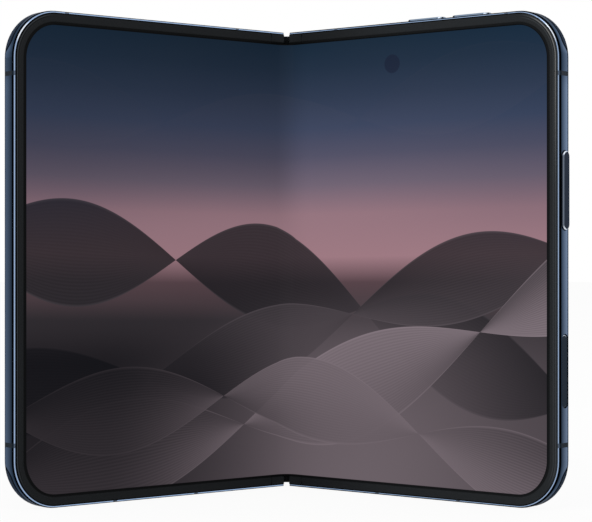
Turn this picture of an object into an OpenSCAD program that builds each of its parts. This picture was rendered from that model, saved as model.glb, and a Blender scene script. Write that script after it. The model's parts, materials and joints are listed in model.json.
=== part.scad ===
// Book-style folding smartphone, half open and standing on its lower edges.
// Millimetres, +Z up along the fold line. The inner screen faces -Y.
// Every piece of a half is drawn flat, with u from the fold line outwards,
// y from the screen side to the back and z up, and on_half() folds it.

/* [Body] */
// Height of the body along the fold line
body_h = 120.6; // [112:0.2:130]
// Width of one half, from the fold line to its outer side
half_w = 83.8; // [80:0.2:92]
// Thickness of one half, without the camera plateau
half_t = 4.8; // [4.8:0.1:5.6]
// Outer corner radius
corner_r = 12; // [10:0.5:14]
// Fold of each half away from flat
fold = 38.25; // [30:0.25:45]
// Radius of the frame's long edges
edge_r = 0.9; // [0.6:0.05:1]
// Depth of the frame's wall, from outside to inside
wall_t = 2; // [1.8:0.1:2.4]
// Front rim of the frame that is left outside the bezel
rim_w = 0.55; // [0.4:0.05:0.6]

/* [Screen] */
// Distance from the frame's outer side to the lit area
screen_inset = 3.3; // [3:0.1:4]
// How far the bezel stands proud of the frame
bezel_proud = 0.1; // [0.05:0.05:0.15]
// Depth of the screen's surface below the frame's front
screen_y = 0.25; // [0.2:0.05:0.3]
// Thickness of the flexible screen
screen_t = 0.4; // [0.3:0.05:0.45]
// Bend radius of the screen at the fold
bend_r = 4; // [3.8:0.1:4.4]
// Thickness of the steel plates behind the screen
plate_t = 0.25; // [0.15:0.05:0.25]
// Thickness of the frame's inner web
web_t = 0.4; // [0.3:0.05:0.5]

/* [Hinge] */
// Distance between the two hinge axes
hinge_pitch = 4.2; // [4.1:0.05:4.3]
// Distance left between the frames of the closed halves
closed_gap = 0.5; // [0.4:0.05:0.6]
// Wall of the spine cover
spine_t = 0.5; // [0.4:0.05:0.6]
// Thickness of the frame's lip that hides the spine
lip_t = 0.5; // [0.4:0.05:0.6]
// Diameter of the hinge shafts
shaft_d = 1; // [0.9:0.02:1.02]
// Diameter of the idler gears' journals
journal_d = 0.6; // [0.5:0.02:0.7]
// Teeth on each of the four hinge gears
gear_teeth = 10; // [10:2:12]
// Face width of the gears
gear_w = 2.6; // [2:0.1:3]
// Distance of each hinge module from the body's end
module_end = 14; // [12:0.5:18]
// Friction discs on each shaft of a hinge module
disc_count = 4; // [3:1:5]
// Thickness of a friction disc
disc_t = 0.35; // [0.3:0.05:0.4]

/* [Buttons] */
// Length of the power button
power_l = 19; // [16:0.5:20]
// Height of the power button's centre
power_z = 76.8; // [74:0.2:80]
// Length of each volume button
volume_l = 11; // [10:0.2:11.6]
// Distance of the volume buttons' centres from the body's outer side
volume_side = [39.7, 26.3];
// Length of the camera key
camera_key_l = 17.6; // [15:0.2:18]
// Height of the camera key's centre
camera_key_z = 33.5; // [32:0.1:35]
// Width of the side buttons
button_w = 2.9; // [2.6:0.1:2.9]
// How far the buttons stand proud of the frame
button_proud = 0.5; // [0.4:0.05:0.7]
// Depth of the camera key below the frame's surface
key_sink = 0.15; // [0.1:0.05:0.2]
// Width of the metal ring round the power button's glass
button_ring = 0.25; // [0.2:0.05:0.4]

/* [Cameras] */
// Distance of the camera under the inner screen from the body's outer side
inner_camera_side = 48.9; // [47:0.1:52]
// Distance of that camera's centre from the body's top
inner_camera_top = 10.5; // [9:0.1:12]
// Diameter of the camera under the inner screen
inner_camera_d = 5; // [4.6:0.1:5.4]
// Distance between the two rear lenses
lens_spacing = 19; // [17.5:0.5:20]
// Width of the rear camera plateau
plateau_w = 17; // [16:0.5:18]
// Height of the rear camera plateau
plateau_h = 1.6; // [1.2:0.1:2]
// Outer diameter of the rear lens rings
ring_d = 13.5; // [12.5:0.1:14]
// Height of the lens rings above the plateau
ring_h = 0.8; // [0.5:0.1:1]
// Distance of the cover camera's centre from the body's top
cover_camera_top = 8.6; // [7:0.1:10]
// Diameter of the camera in the cover screen
cover_camera_d = 3.6; // [3.2:0.1:4]
// Thickness of the back and cover glass
glass_t = 0.6; // [0.5:0.02:0.6]

/* [Port and speakers] */
// Width of the charging port's mouth
port_w = 8.4; // [8.34:0.02:8.5]
// Height of the charging port's mouth
port_h = 2.6; // [2.56:0.02:2.7]
// Diameter of a speaker hole
speaker_d = 1.3; // [1:0.05:1.4]
// Holes in one speaker row
speaker_holes = 5; // [4:1:6]

/* [Inside] */
// Thickness of the battery cells
battery_t = 2; // [1.6:0.1:2.2]
// Clearance between pieces that only lie beside each other
gap = 0.1; // [0.08:0.01:0.12]
// Running clearance of the shafts, on the radius
run_gap = 0.03; // [0.02:0.01:0.04]
// Film of glue or fit between pieces that are fixed to each other
seat = 0.02; // [0.01:0.01:0.03]

/* [Hidden] */
$fn = 48;

// Layers of a half, from the screen side to the back
plate_y = screen_y + screen_t + seat;
web_y = plate_y + plate_t + seat;
bay_y = web_y + web_t;
glass_y = half_t - glass_t;
edge_shift = 0.15;
mid_y = half_t / 2 + edge_shift;
// Overlap that fuses the shapes of one piece, and the length of a cut right through a half
fuse = 0.05;
deep = half_t + 2;

// Hinge axes: beside the fold plane and behind the screen
axis_x = hinge_pitch / 2;
axis_y = axis_x - closed_gap / 2;
arm_y = bay_y + fuse;
arm_t = 0.8;
knuckle_r = 1;

// Spine: its outer radius about each axis, its back, its inside and its ends
spine_gap = 0.12;
swing_gap = 0.2;
spine_r = half_t - lip_t - spine_gap - axis_y;
spine_in_r = spine_r - spine_t - seat;
wall_top_y = arm_y + arm_t + spine_gap;
floor_y = axis_y + knuckle_r + swing_gap;
end_gap = 0.25;
spine_end = rim_w + end_gap;
plug_l = 2.6;
plug_y = floor_y + gap;

// Inner edge of a half's body, its lip over the spine and the rib behind the lip
inner_u = axis_x + spine_r + swing_gap;
lip_u = 0.1;
rib_w = 0.95;
ledge_w = 0.45;
// The frame's end beside the fold: its tip's radius, and where the tip meets the lip
tip_r = axis_x - 0.8;
tip_y = floor_y + 0.6;
fold_u = inner_u + rib_w + ledge_w;

// Bezel and screen edges
rim_gap = 0.08;
bezel_inset = rim_w + rim_gap;
bezel_leg = 0.9;
screen_edge = bezel_inset + bezel_leg + rim_gap;
cap_z = screen_inset - fuse;
cap_back = screen_y + 0.35;
cap_side = fold_u - 3 * seat;
cap_front_u = axis_x - 0.15;
cap_back_u = axis_x - 0.85;

// Where the bend of the screen lies between the two leaning halves
screen_depth = axis_y - screen_y;
apex_s = (axis_x - screen_depth * sin(fold)) / cos(fold);
apex_y = axis_y - screen_depth * cos(fold) + apex_s * sin(fold);
bend_y = apex_y - bend_r / cos(fold);
bend_u = axis_x - apex_s + bend_r * tan(fold);
wing_gap = 1.1;
wing_u = axis_x + wing_gap;

// The part stands on the middle of its footprint
front_reach = axis_y - (half_w - edge_r - axis_x) * sin(fold) - (axis_y - edge_r) * cos(fold) - edge_r;
back_reach = axis_y + (axis_x - lip_u) * sin(fold) + (half_t - axis_y) * cos(fold);
stand_y = -(front_reach + back_reach) / 2;

// Volume buttons, from the fold line: the one that turns down, then the one that turns up
volume_u = [half_w - volume_side[0], half_w - volume_side[1]];

// Breaks in the frame, filled with plastic: along the top, the bottom and the outer side
top_band_side = 15;
top_bands = [17.1, half_w - top_band_side];
port_u = half_w / 2 + 0.7;
port_bands = 12.3;
bottom_bands = [port_u - port_bands, port_u + port_bands];
side_band = 44.5;
band_w = 1.1;
band_depth = 1.4;

// Hinge module: places of its ears, discs, gears and knuckle along the fold line
ear_t = 1;
ear_r = 1.05;
ear_shoulder = 0.3;
stack_gap = 0.05;
stack_pitch = 2 * (disc_t + stack_gap);
ear_b = ear_t + disc_count * stack_pitch - disc_t;
gear_z = ear_b + ear_t + gap;
ear_c = gear_z + gear_w + gap;
knuckle_l = 4.4;
knuckle_z = ear_c + ear_t + gap;
ear_d = knuckle_z + knuckle_l + gap;
module_l = ear_d + ear_t;
shaft_head_d = 1.5;
shaft_head_t = 0.4;
arm_w = 13;
arm_corner = 2.2;
arm_u = 14;
arm_z = module_end + knuckle_z + knuckle_l / 2;
arm_screws = [[8.2, -4.4], [8.2, 4.4], [12.2, 0]];
screw_d = 1;
screw_head_d = 1.9;
screw_head_t = 0.4;
base_screw_d = 0.8;
base_screw_head_d = 1.4;
base_screw_pitch = 2.4;
base_screw_end = axis_y + spine_r - 0.2;

// Hinge gears: four equal ones in a row between the halves
gear_r = hinge_pitch / 6;
gear_m = 2 * gear_r / gear_teeth;
pressure = 25;
backlash = 0.03;

// Inside of the halves
wall_in = wall_t + gap;
button_cap = 0.8;
button_travel = 0.25;
stem_w = 1.6;
stem_short = 3;
clip_w = 2.2;
clip_t = 0.4;
clip_l = 1.4;
cap_round = 0.35;
glass_sink = 0.25;
switch_t = 0.7;
switch_gap = 0.08;
plunger_t = 0.3;
switch_in = wall_t + clip_t + button_travel + switch_gap + switch_t;
port_wall = 0.2;
port_depth = 7;
tongue_w = port_w - 1.7;
tongue_t = 0.7;
tongue_short = 0.9;
speaker_side = 25.8;
speaker_at = half_w - speaker_side;
speaker_pitch = 2.1;
mic_d = 1;
magnet_l = 9;
magnet_t = 0.8;
magnet_space = 1.4;
magnet_z = power_z - power_l / 2 - magnet_l / 2 - magnet_space;
magnet_pitch = magnet_l + magnet_space;
left_mic = 42;
right_mic = 22;
top_mic = 28;
battery_y = bay_y + gap;
battery_space = 1;
battery_u = arm_u + 2 * battery_space;
battery_w = half_w - switch_in - battery_space - battery_u;
battery_corner = 1.5;
battery_z = 14;
left_battery_top = 20.6;
right_battery_top = 40.6;
left_battery_h = body_h - battery_z - left_battery_top;
right_battery_h = body_h - battery_z - right_battery_top;
board_y = bay_y + gap;
board_t = 0.7;
shield_h = 9;
shield_t = 1.1;
shield_gap = 2;
board_z = battery_z + right_battery_h + 2 * battery_space;
board_top = body_h - wall_t - 1.6;
board_corner = 0.5;
board_side = battery_u + battery_w;
// Both ends of each shield, side by side along the board
shield_w = 10;
shields = [[battery_u + shield_gap, battery_u + shield_w], [battery_u + shield_w + shield_gap,
    board_side - shield_w - 2 * shield_gap], [board_side - shield_w - shield_gap, board_side - shield_gap]];
panel_t = 0.45;
panel_edge = 0.9;
panel_start = fold_u + 1.2;
camera_flange = 1;
cover_flange_t = 1;
inner_flange_t = 1.6;
inner_camera_at = [half_w - inner_camera_side, body_h - inner_camera_top];
cover_camera_at = [(fold_u + half_w) / 2, body_h - cover_camera_top];
flash_d = 3.4;
flash_side = 4.3;
flash_room = 7.75;
flash_rise = 2.5;
plateau_round = 0.5;
plateau_l = plateau_w / 2 + lens_spacing + ring_d / 2 + flash_room;
plateau_side = 4.8;
plateau_top = 9.1;
plateau_at = [half_w - plateau_side - plateau_l / 2, body_h - plateau_top - plateau_w / 2];
lens_u = plateau_at[0] - plateau_l / 2 + plateau_w / 2;
flash_at = [plateau_at[0] + plateau_l / 2 - flash_side, plateau_at[1] + flash_rise];
ring_wall = 1.5;
ring_round = 0.35;
lens_bore = ring_d - 2 * ring_wall;
lens_t = 0.4;
lens_y = half_t + plateau_h + ring_h - lens_t - 0.1;
module_size = 11.5;
motor_size = [15, 2.2, 6];
motor_space = 1;
speaker_end = 3;
speaker_size = [2.3, 8];
switch_l = 5;
switch_w = 2.4;
plunger_d = 1.6;
coil_r = 21;
coil_hole_r = 10;
coil_t = 0.4;

// ---------------------------------------------------------------- placing

module sided(side) {
    if (side > 0) children();
    else mirror([1, 0, 0]) children();
}

module stood() translate([0, stand_y, 0]) children();

module on_half(side)
    stood() sided(side)
        translate([axis_x, axis_y, 0]) rotate([0, 0, -fold]) translate([-axis_x, -axis_y, 0])
            children();

// Draws the children at the lower end and mirrored at the upper end
module both_ends() {
    children();
    translate([0, 0, body_h]) mirror([0, 0, 1]) children();
}

// A plate from depth y0 to depth y1, its outline drawn in u and z
module slab(y0, y1) translate([0, y1, 0]) rotate([90, 0, 0]) linear_extrude(y1 - y0) children();

// A round pin or hole along y, starting at depth y0
module pin_y(at, y0, l, d) translate([at[0], y0, at[1]]) rotate([-90, 0, 0]) cylinder(h = l, d = d);

// Local Z points outwards from the wall, and local X runs along it
module on_side(z) translate([half_w, mid_y, z]) rotate([0, 90, 0]) children();
module on_top(u) translate([u, mid_y, body_h]) children();
module on_bottom(u) translate([u, mid_y, 0]) rotate([180, 0, 0]) children();

// ---------------------------------------------------------------- outlines

module half_outline(inset, from_u) {
    r = corner_r - inset;
    arc_u = half_w - corner_r;
    translate([from_u, inset]) square([arc_u - from_u, body_h - 2 * inset]);
    translate([from_u, corner_r]) square([half_w - inset - from_u, body_h - 2 * corner_r]);
    for (z = [corner_r, body_h - corner_r]) translate([arc_u, z]) circle(r);
}

module rounded_rect(w, h, r) {
    translate([r - w / 2, -h / 2]) square([w - 2 * r, h]);
    translate([-w / 2, r - h / 2]) square([w, h - 2 * r]);
    for (x = [r - w / 2, w / 2 - r], y = [r - h / 2, h / 2 - r]) translate([x, y]) circle(r);
}

module stadium(l, w) {
    square([l - w, w], center = true);
    for (s = [-1, 1]) translate([s * (l - w) / 2, 0]) circle(d = w);
}

// Half of a section, rounded at its upper outer corner
module rounded_section(w, h, r) {
    square([w - r, h]);
    square([w, h - r]);
    translate([w - r, h - r]) circle(r);
}

// A straight pill with round ends and a rounded upper edge
module pill(l, w, h, r) {
    rotate([90, 0, 90]) translate([0, 0, (w - l) / 2]) linear_extrude(l - w) {
        rounded_section(w / 2, h, r);
        mirror([1, 0]) rounded_section(w / 2, h, r);
    }
    for (s = [0, 1]) rotate([0, 0, 180 * s]) translate([(l - w) / 2, 0, 0])
        rotate([0, 0, -90]) rotate_extrude(angle = 180) rounded_section(w / 2, h, r);
}

// Sweeps a section, drawn as [depth from the outside, y], round the three outer sides
module rim_sweep(from_u) {
    arc_u = half_w - corner_r;
    translate([arc_u, 0, 0]) rotate([0, -90, 0]) linear_extrude(arc_u - from_u) children();
    translate([arc_u, 0, body_h]) rotate([0, -90, 0])
        linear_extrude(arc_u - from_u) mirror([1, 0]) children();
    translate([half_w, 0, corner_r]) linear_extrude(body_h - 2 * corner_r) mirror([1, 0]) children();
    for (top = [0, 1]) translate([arc_u, 0, top == 1 ? body_h - corner_r : corner_r])
        rotate([-90, 0, 0]) rotate([0, 0, -90 * top])
            rotate_extrude(angle = 90) translate([corner_r, 0]) mirror([1, 0]) children();
}

// ---------------------------------------------------------------- spine

// Outline of the spine across the fold line, behind front_y
module spine_plan(r, front_y) intersection() {
    union() {
        for (s = [-1, 1]) translate([s * axis_x, axis_y]) circle(r);
        translate([-axis_x, axis_y - r]) square([2 * axis_x, 2 * r]);
    }
    translate([-half_t, front_y]) square([2 * half_t, half_t]);
}

module at_axes() for (s = [-1, 1]) translate([s * axis_x, axis_y, 0]) children();
module at_idlers() for (s = [-1, 1]) translate([s * gear_r, axis_y, 0]) children();
module in_modules() both_ends() translate([0, 0, module_end]) children();

module base_screw_places() for (s = [-1, 1])
    translate([0, 0, knuckle_z + knuckle_l / 2 + s * base_screw_pitch / 2]) children();

module spine_cover() color("#55657c") stood() difference() {
    translate([0, 0, spine_end]) linear_extrude(body_h - 2 * spine_end) difference() {
        spine_plan(spine_r, wall_top_y);
        spine_plan(spine_r - spine_t, 0);
    }
    in_modules() base_screw_places() pin_y([0, 0], 0, base_screw_end + gap, base_screw_d);
}

// Closes an end of the spine and leaves room for the fold caps to swing in
module spine_end_plugs() color("#1d2633") stood() both_ends() translate([0, 0, spine_end])
    linear_extrude(plug_l) intersection() {
        spine_plan(spine_in_r, 0);
        union() {
            translate([-half_t, plug_y]) square([2 * half_t, half_t]);
            for (s = [0, 1]) mirror([s, 0]) translate([axis_x, axis_y]) {
                circle(ear_r);
                translate([-ear_r, 0]) square([ear_r + spine_r, spine_r]);
            }
        }
    }

// One ear of a hinge base, bored for the two shafts and the two idlers
module ear_plan() intersection() {
    spine_plan(spine_in_r, 0);
    union() {
        for (s = [-1, 1]) translate([s * axis_x, axis_y]) circle(ear_r);
        translate([-axis_x, axis_y - ear_r + ear_shoulder]) square([2 * axis_x, half_t]);
        translate([-axis_x - ear_r, axis_y]) square([2 * (axis_x + ear_r), half_t]);
    }
}

module hinge_base() difference() {
    union() {
        linear_extrude(module_l) spine_plan(spine_in_r, floor_y);
        for (z = [0, ear_b, ear_c, ear_d]) translate([0, 0, z]) linear_extrude(ear_t) ear_plan();
    }
    translate([0, 0, -1]) at_axes() cylinder(h = module_l + 2, d = shaft_d + 2 * run_gap);
    translate([0, 0, ear_b - 1]) at_idlers()
        cylinder(h = ear_c - ear_b + ear_t + 2, d = journal_d + 2 * run_gap);
    base_screw_places() pin_y([0, 0], 0, half_t, base_screw_d + gap);
}

module hinge_bases() color("#9aa3ad") stood() in_modules() hinge_base();

module hinge_base_screws() color("#c9ced6") stood() in_modules() base_screw_places() {
    pin_y([0, 0], floor_y - screw_head_t, screw_head_t, base_screw_head_d);
    pin_y([0, 0], floor_y - gap, base_screw_end - floor_y + gap, base_screw_d - 2 * seat);
}

// Fixed plates that the friction discs rub between
module friction_plates() color("#7d7466") stood() in_modules()
    for (i = [0:disc_count - 2])
        translate([0, 0, ear_t + stack_gap + i * stack_pitch + disc_t + stack_gap])
            linear_extrude(disc_t) difference() {
                intersection() {
                    ear_plan();
                    translate([-half_t, 0]) square([2 * half_t, floor_y - seat]);
                }
                for (s = [-1, 1]) translate([s * axis_x, axis_y]) circle(d = shaft_d + 2 * run_gap);
            }

// ---------------------------------------------------------------- gears

gear_tip = gear_r + 0.8 * gear_m;
gear_root = gear_r - 1.1 * gear_m;
gear_base = gear_r * cos(pressure);
function roll(r) = sqrt(pow(r / gear_base, 2) - 1) * 180 / PI - acos(gear_base / r);
// Half of a tooth's angle at radius r
function tooth_half(r) = (90 / gear_teeth - backlash * 90 / (PI * gear_r)) + roll(gear_r) - roll(r);
flank_steps = 4;
flank = [for (i = [0:flank_steps]) gear_base + i * (gear_tip - gear_base) / flank_steps];
tooth = concat([[gear_root, -tooth_half(gear_base)]], [for (r = flank) [r, -tooth_half(r)]]);
function polar(p, turn) = [p[0] * cos(p[1] + turn), p[0] * sin(p[1] + turn)];
function flip(p) = [p[0], -p[1]];

module gear_plan() polygon([for (i = [0:gear_teeth - 1]) let (turn = i * 360 / gear_teeth)
    for (p = concat(tooth, [for (k = [len(tooth) - 1:-1:0]) flip(tooth[k])])) polar(p, turn)]);

// Idlers turn against the half beside them, so their teeth stay between its teeth
module idler_gear(phase) rotate([0, 0, phase]) {
    translate([0, 0, gear_z]) linear_extrude(gear_w) gear_plan();
    translate([0, 0, ear_b + gap]) cylinder(h = ear_c - ear_b + ear_t - 2 * gap, d = journal_d);
}

module left_idler_gears() color("#b8a06a") stood() in_modules()
    translate([-gear_r, axis_y, 0]) idler_gear(180 / gear_teeth - fold);
module right_idler_gears() color("#b8a06a") stood() in_modules()
    translate([gear_r, axis_y, 0]) idler_gear(fold);

module gear_shafts(side) color("#a9b0b8") on_half(side) in_modules() translate([axis_x, axis_y, 0]) {
    translate([0, 0, -shaft_head_t - gap])
        cylinder(h = module_l + 2 * (shaft_head_t + gap), d = shaft_d);
    for (z = [-shaft_head_t - gap, module_l + gap]) translate([0, 0, z])
        cylinder(h = shaft_head_t, d = shaft_head_d);
    translate([0, 0, gear_z]) rotate([0, 0, side > 0 ? 180 / gear_teeth : 0])
        linear_extrude(gear_w) gear_plan();
}

module left_gear_shafts() gear_shafts(-1);
module right_gear_shafts() gear_shafts(1);

module friction_discs(side) color("#c7b98f") on_half(side) in_modules()
    for (i = [0:disc_count - 1])
        translate([axis_x, axis_y, ear_t + stack_gap + i * stack_pitch])
            linear_extrude(disc_t) difference() {
                circle(ear_r - gap);
                circle(d = shaft_d + seat);
            }

module left_friction_discs() friction_discs(-1);
module right_friction_discs() friction_discs(1);

// ---------------------------------------------------------------- arms

module arm_screw_places() translate([0, 0, arm_z]) for (s = arm_screws)
    translate([s[0], 0, s[1]]) children();

module hinge_arm() difference() {
    union() {
        translate([axis_x, axis_y, arm_z - knuckle_l / 2]) cylinder(h = knuckle_l, r = knuckle_r);
        slab(arm_y, arm_y + arm_t) {
            translate([axis_x, arm_z - knuckle_l / 2]) square([inner_u - axis_x + fuse, knuckle_l]);
            translate([inner_u, arm_z - arm_w / 2]) square([arm_corner, arm_w]);
            translate([(inner_u + arm_u) / 2, arm_z]) rounded_rect(arm_u - inner_u, arm_w, arm_corner);
        }
    }
    translate([axis_x, axis_y, arm_z - knuckle_l]) cylinder(h = 2 * knuckle_l, d = shaft_d + seat);
    arm_screw_places() pin_y([0, 0], 0, half_t, screw_d + gap);
}

module hinge_arms(side) color("#8f98a3") on_half(side) both_ends() hinge_arm();
module left_hinge_arms() hinge_arms(-1);
module right_hinge_arms() hinge_arms(1);

module arm_fixings(side) color("#c9ced6") on_half(side) both_ends() arm_screw_places() {
    pin_y([0, 0], arm_y + arm_t, screw_head_t, screw_head_d);
    pin_y([0, 0], web_y + fuse, arm_y + arm_t - web_y, screw_d);
}

module left_arm_screws() arm_fixings(-1);
module right_arm_screws() arm_fixings(1);

// ---------------------------------------------------------------- frame

module band_section() difference() {
    union() {
        translate([edge_r, 0]) square([wall_t - edge_r, half_t]);
        translate([0, edge_r]) square([wall_t, half_t - 2 * edge_r]);
        for (y = [edge_r, half_t - edge_r]) translate([edge_r, y]) circle(edge_r);
    }
    translate([rim_w, -1]) square([wall_t, web_y + 1]);
    translate([edge_r + fuse, glass_y]) square([wall_t, half_t]);
}

// End of the frame beside the fold, seen along the fold line: its tip is round about the axis
module skirt_plan() {
    lean = acos(tip_r / axis_y);
    translate([axis_x, 0]) square([inner_u - axis_x + fuse, half_t]);
    translate([axis_x, axis_y]) circle(tip_r);
    polygon([[axis_x, 0], [axis_x, half_t], [lip_u, half_t], [lip_u, tip_y],
        [axis_x - tip_r, axis_y], [axis_x - tip_r * sin(lean), axis_y - tip_r * cos(lean)]]);
}

module skirt() intersection() {
    translate([inner_u + fuse, 0, 0]) rotate([0, -90, 0]) linear_extrude(inner_u + fuse)
        intersection() {
            band_section();
            square([rim_w, half_t]);
        }
    translate([0, 0, -1]) linear_extrude(rim_w + 2) skirt_plan();
}

module band_slots() {
    for (u = top_bands) translate([u - band_w / 2, -1, body_h - band_depth])
        cube([band_w, deep, band_depth + 1]);
    for (u = bottom_bands) translate([u - band_w / 2, -1, -1]) cube([band_w, deep, band_depth + 1]);
    for (s = [-1, 1]) translate([half_w - band_depth, -1, body_h / 2 + s * side_band - band_w / 2])
        cube([band_depth + 1, deep, band_w]);
}

module antenna_bands(side) color("#2b3542") on_half(side) intersection() {
    rim_sweep(inner_u) band_section();
    band_slots();
}

module left_antenna_bands() antenna_bands(-1);
module right_antenna_bands() antenna_bands(1);

module frame_shell() {
    rim_sweep(inner_u) band_section();
    both_ends() skirt();
    slab(web_y, bay_y) half_outline(wall_t - fuse, inner_u);
    // Lip over the spine, and the rib that closes the bay beside it
    translate([lip_u, half_t - lip_t, rim_w - fuse])
        cube([fold_u - lip_u, lip_t, body_h - 2 * (rim_w - fuse)]);
    translate([inner_u, web_y, wall_t - fuse])
        cube([rib_w, half_t - web_y, body_h - 2 * (wall_t - fuse)]);
}

module sound_holes(mic_u) {
    through = wall_t + 2;
    for (i = [0:speaker_holes - 1]) on_bottom(speaker_at + i * speaker_pitch)
        translate([0, 0, 1 - through]) cylinder(h = through, d = speaker_d);
    on_bottom(mic_u) translate([0, 0, 1 - through]) cylinder(h = through, d = mic_d);
    on_top(top_mic) translate([0, 0, 1 - through]) cylinder(h = through, d = mic_d);
}

module frame_cuts(mic_u) {
    band_slots();
    sound_holes(mic_u);
    both_ends() arm_screw_places() pin_y([0, 0], 0, bay_y + gap, screw_d + gap);
    both_ends() translate([inner_u - 1, arm_y - 2 * seat, arm_z - arm_w / 2 - gap])
        cube([rib_w + 2, arm_t + 2 * seat + gap, arm_w + 2 * gap]);
}

module left_frame() color("#46566b") on_half(-1) difference() {
    frame_shell();
    frame_cuts(left_mic);
}

module right_frame() color("#46566b") on_half(1) difference() {
    frame_shell();
    frame_cuts(right_mic);
    on_side(power_z) button_hole(power_l);
    on_side(camera_key_z) button_hole(camera_key_l);
    for (u = volume_u) on_top(u) button_hole(volume_l);
    on_bottom(port_u) translate([0, 0, -port_depth - 1]) linear_extrude(port_depth + 2)
        stadium(port_w + 2 * port_wall + 2 * gap, port_h + 2 * port_wall + 2 * gap);
    pin_y(inner_camera_at, 0, half_t / 2, inner_camera_d + 2 * gap);
}

// ---------------------------------------------------------------- bezel and screen

module bezel(side) color("#26292d") on_half(side) {
    slab(-bezel_proud, screen_y - seat) difference() {
        half_outline(bezel_inset, fold_u);
        half_outline(screen_inset, fold_u - 1);
    }
    slab(-bezel_proud, web_y - seat) difference() {
        half_outline(bezel_inset, fold_u);
        half_outline(bezel_inset + bezel_leg, fold_u - 1);
    }
}

module left_bezel() bezel(-1);
module right_bezel() bezel(1);

// Caps over the ends of the fold, cut back so that they pass each other as the halves close
module fold_cap() translate([0, 0, bezel_inset]) {
    linear_extrude(cap_z - bezel_inset) polygon([[cap_side, -bezel_proud], [cap_side, cap_back],
        [cap_back_u, cap_back], [cap_front_u, -bezel_proud]]);
    translate([inner_u + swing_gap, cap_back - fuse, 0])
        cube([cap_side - inner_u - swing_gap, web_y - seat - cap_back + fuse, cap_z - bezel_inset]);
}

module left_fold_caps() color("#2e3238") on_half(-1) both_ends() fold_cap();
module right_fold_caps() color("#2e3238") on_half(1) both_ends() fold_cap();

module screen(side) color("#3f4460") on_half(side)
    slab(screen_y, screen_y + screen_t) half_outline(screen_edge, fold_u);
module left_screen() screen(-1);
module right_screen() screen(1);

// The part of the screen that bends, drawn as it lies in the standing pose
module screen_fold() color("#3f4460") stood() {
    strip = body_h - 2 * screen_inset;
    translate([0, bend_y, screen_inset]) rotate([0, 0, 90 - fold]) rotate_extrude(angle = 2 * fold)
        translate([bend_r, 0]) square([screen_t, strip]);
    for (side = [-1, 1]) sided(side) translate([axis_x, axis_y, 0]) rotate([0, 0, -fold])
        translate([bend_u - axis_x, -screen_depth, screen_inset])
            cube([fold_u - 2 * seat - bend_u, screen_t, strip]);
}

module screen_plate(side) color("#8a9098") on_half(side) slab(plate_y, plate_y + plate_t) difference() {
    half_outline(screen_edge, fold_u + gap);
    if (side > 0) translate(inner_camera_at) circle(d = inner_camera_d + 2 * gap);
}
module left_screen_plate() screen_plate(-1);
module right_screen_plate() screen_plate(1);

module wing_plate(side) color("#8a9098") on_half(side)
    translate([wing_u, plate_y, screen_inset + gap])
        cube([fold_u - wing_u, plate_t, body_h - 2 * (screen_inset + gap)]);
module left_wing_plate() wing_plate(-1);
module right_wing_plate() wing_plate(1);

// ---------------------------------------------------------------- backs

module cover_glass() color("#10141b") on_half(-1)
    slab(glass_y + seat, half_t) half_outline(edge_r + gap, fold_u + gap / 2);

module cover_screen() color("#0c0f15") on_half(-1)
    slab(glass_y - panel_t, glass_y) difference() {
        half_outline(wall_in + panel_edge, panel_start);
        translate(cover_camera_at) circle(d = cover_camera_d + 2 * gap);
    }

module cover_camera() color("#15181d") on_half(-1) {
    pin_y(cover_camera_at, bay_y + gap, glass_y - bay_y - gap, cover_camera_d);
    pin_y(cover_camera_at, bay_y + gap, cover_flange_t, cover_camera_d + 2 * camera_flange);
}

module back_glass() color("#4a5a70") on_half(1) slab(glass_y + seat, half_t) difference() {
    half_outline(edge_r + gap, fold_u + gap / 2);
    translate(plateau_at) stadium(plateau_l + 2 * gap, plateau_w + 2 * gap);
}

module lens_places() for (i = [0, 1])
    translate([lens_u + i * lens_spacing, 0, plateau_at[1]]) children();

module camera_plateau() color("#4a5a70") on_half(1) difference() {
    translate([plateau_at[0], glass_y + seat, plateau_at[1]]) rotate([-90, 0, 0])
        pill(plateau_l, plateau_w, glass_t + plateau_h - seat, plateau_round);
    lens_places() pin_y([0, 0], 0, 2 * deep, ring_d + 2 * seat);
    pin_y(flash_at, 0, 2 * deep, flash_d + 2 * seat);
}

module lens_rings() color("#8d99ab") on_half(1) lens_places()
    translate([0, glass_y + seat, 0]) rotate([-90, 0, 0]) rotate_extrude()
        translate([lens_bore / 2, 0]) rounded_section(ring_wall, glass_t + plateau_h + ring_h, ring_round);

module lens_glasses() color("#0b0e14") on_half(1) lens_places()
    pin_y([0, 0], lens_y, lens_t, lens_bore - 2 * seat);

module rear_camera_modules() color("#1a1c20") on_half(1) lens_places() {
    slab(board_y, glass_y - gap) square(module_size, center = true);
    pin_y([0, 0], glass_y - 2 * gap, lens_y - gap - glass_y, lens_bore - 1);
}

module flash_lens() color("#e8e4d4") on_half(1)
    pin_y(flash_at, glass_y + seat, glass_t + plateau_h - fuse, flash_d);

// ---------------------------------------------------------------- inside

module cell(side, h) color("#2a2d33") on_half(side) slab(battery_y, battery_y + battery_t)
    translate([battery_u + battery_w / 2, battery_z + h / 2]) rounded_rect(battery_w, h, battery_corner);
module left_battery() cell(-1, left_battery_h);
module right_battery() cell(1, right_battery_h);

module magnets(side) color("#b9bec6") on_half(side)
    for (i = [0, 1])
        translate([half_w - wall_in - magnet_t, battery_y, magnet_z - i * magnet_pitch - magnet_l / 2])
            cube([magnet_t, battery_t, magnet_l]);
module left_magnets() magnets(-1);
module right_magnets() magnets(1);

module speaker(side) color("#3a3d42") on_half(side)
    translate([speaker_at - speaker_end, board_y, wall_in])
        cube([(speaker_holes - 1) * speaker_pitch + 2 * speaker_end, speaker_size[0], speaker_size[1]]);
module left_speaker() speaker(-1);
module right_speaker() speaker(1);

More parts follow.
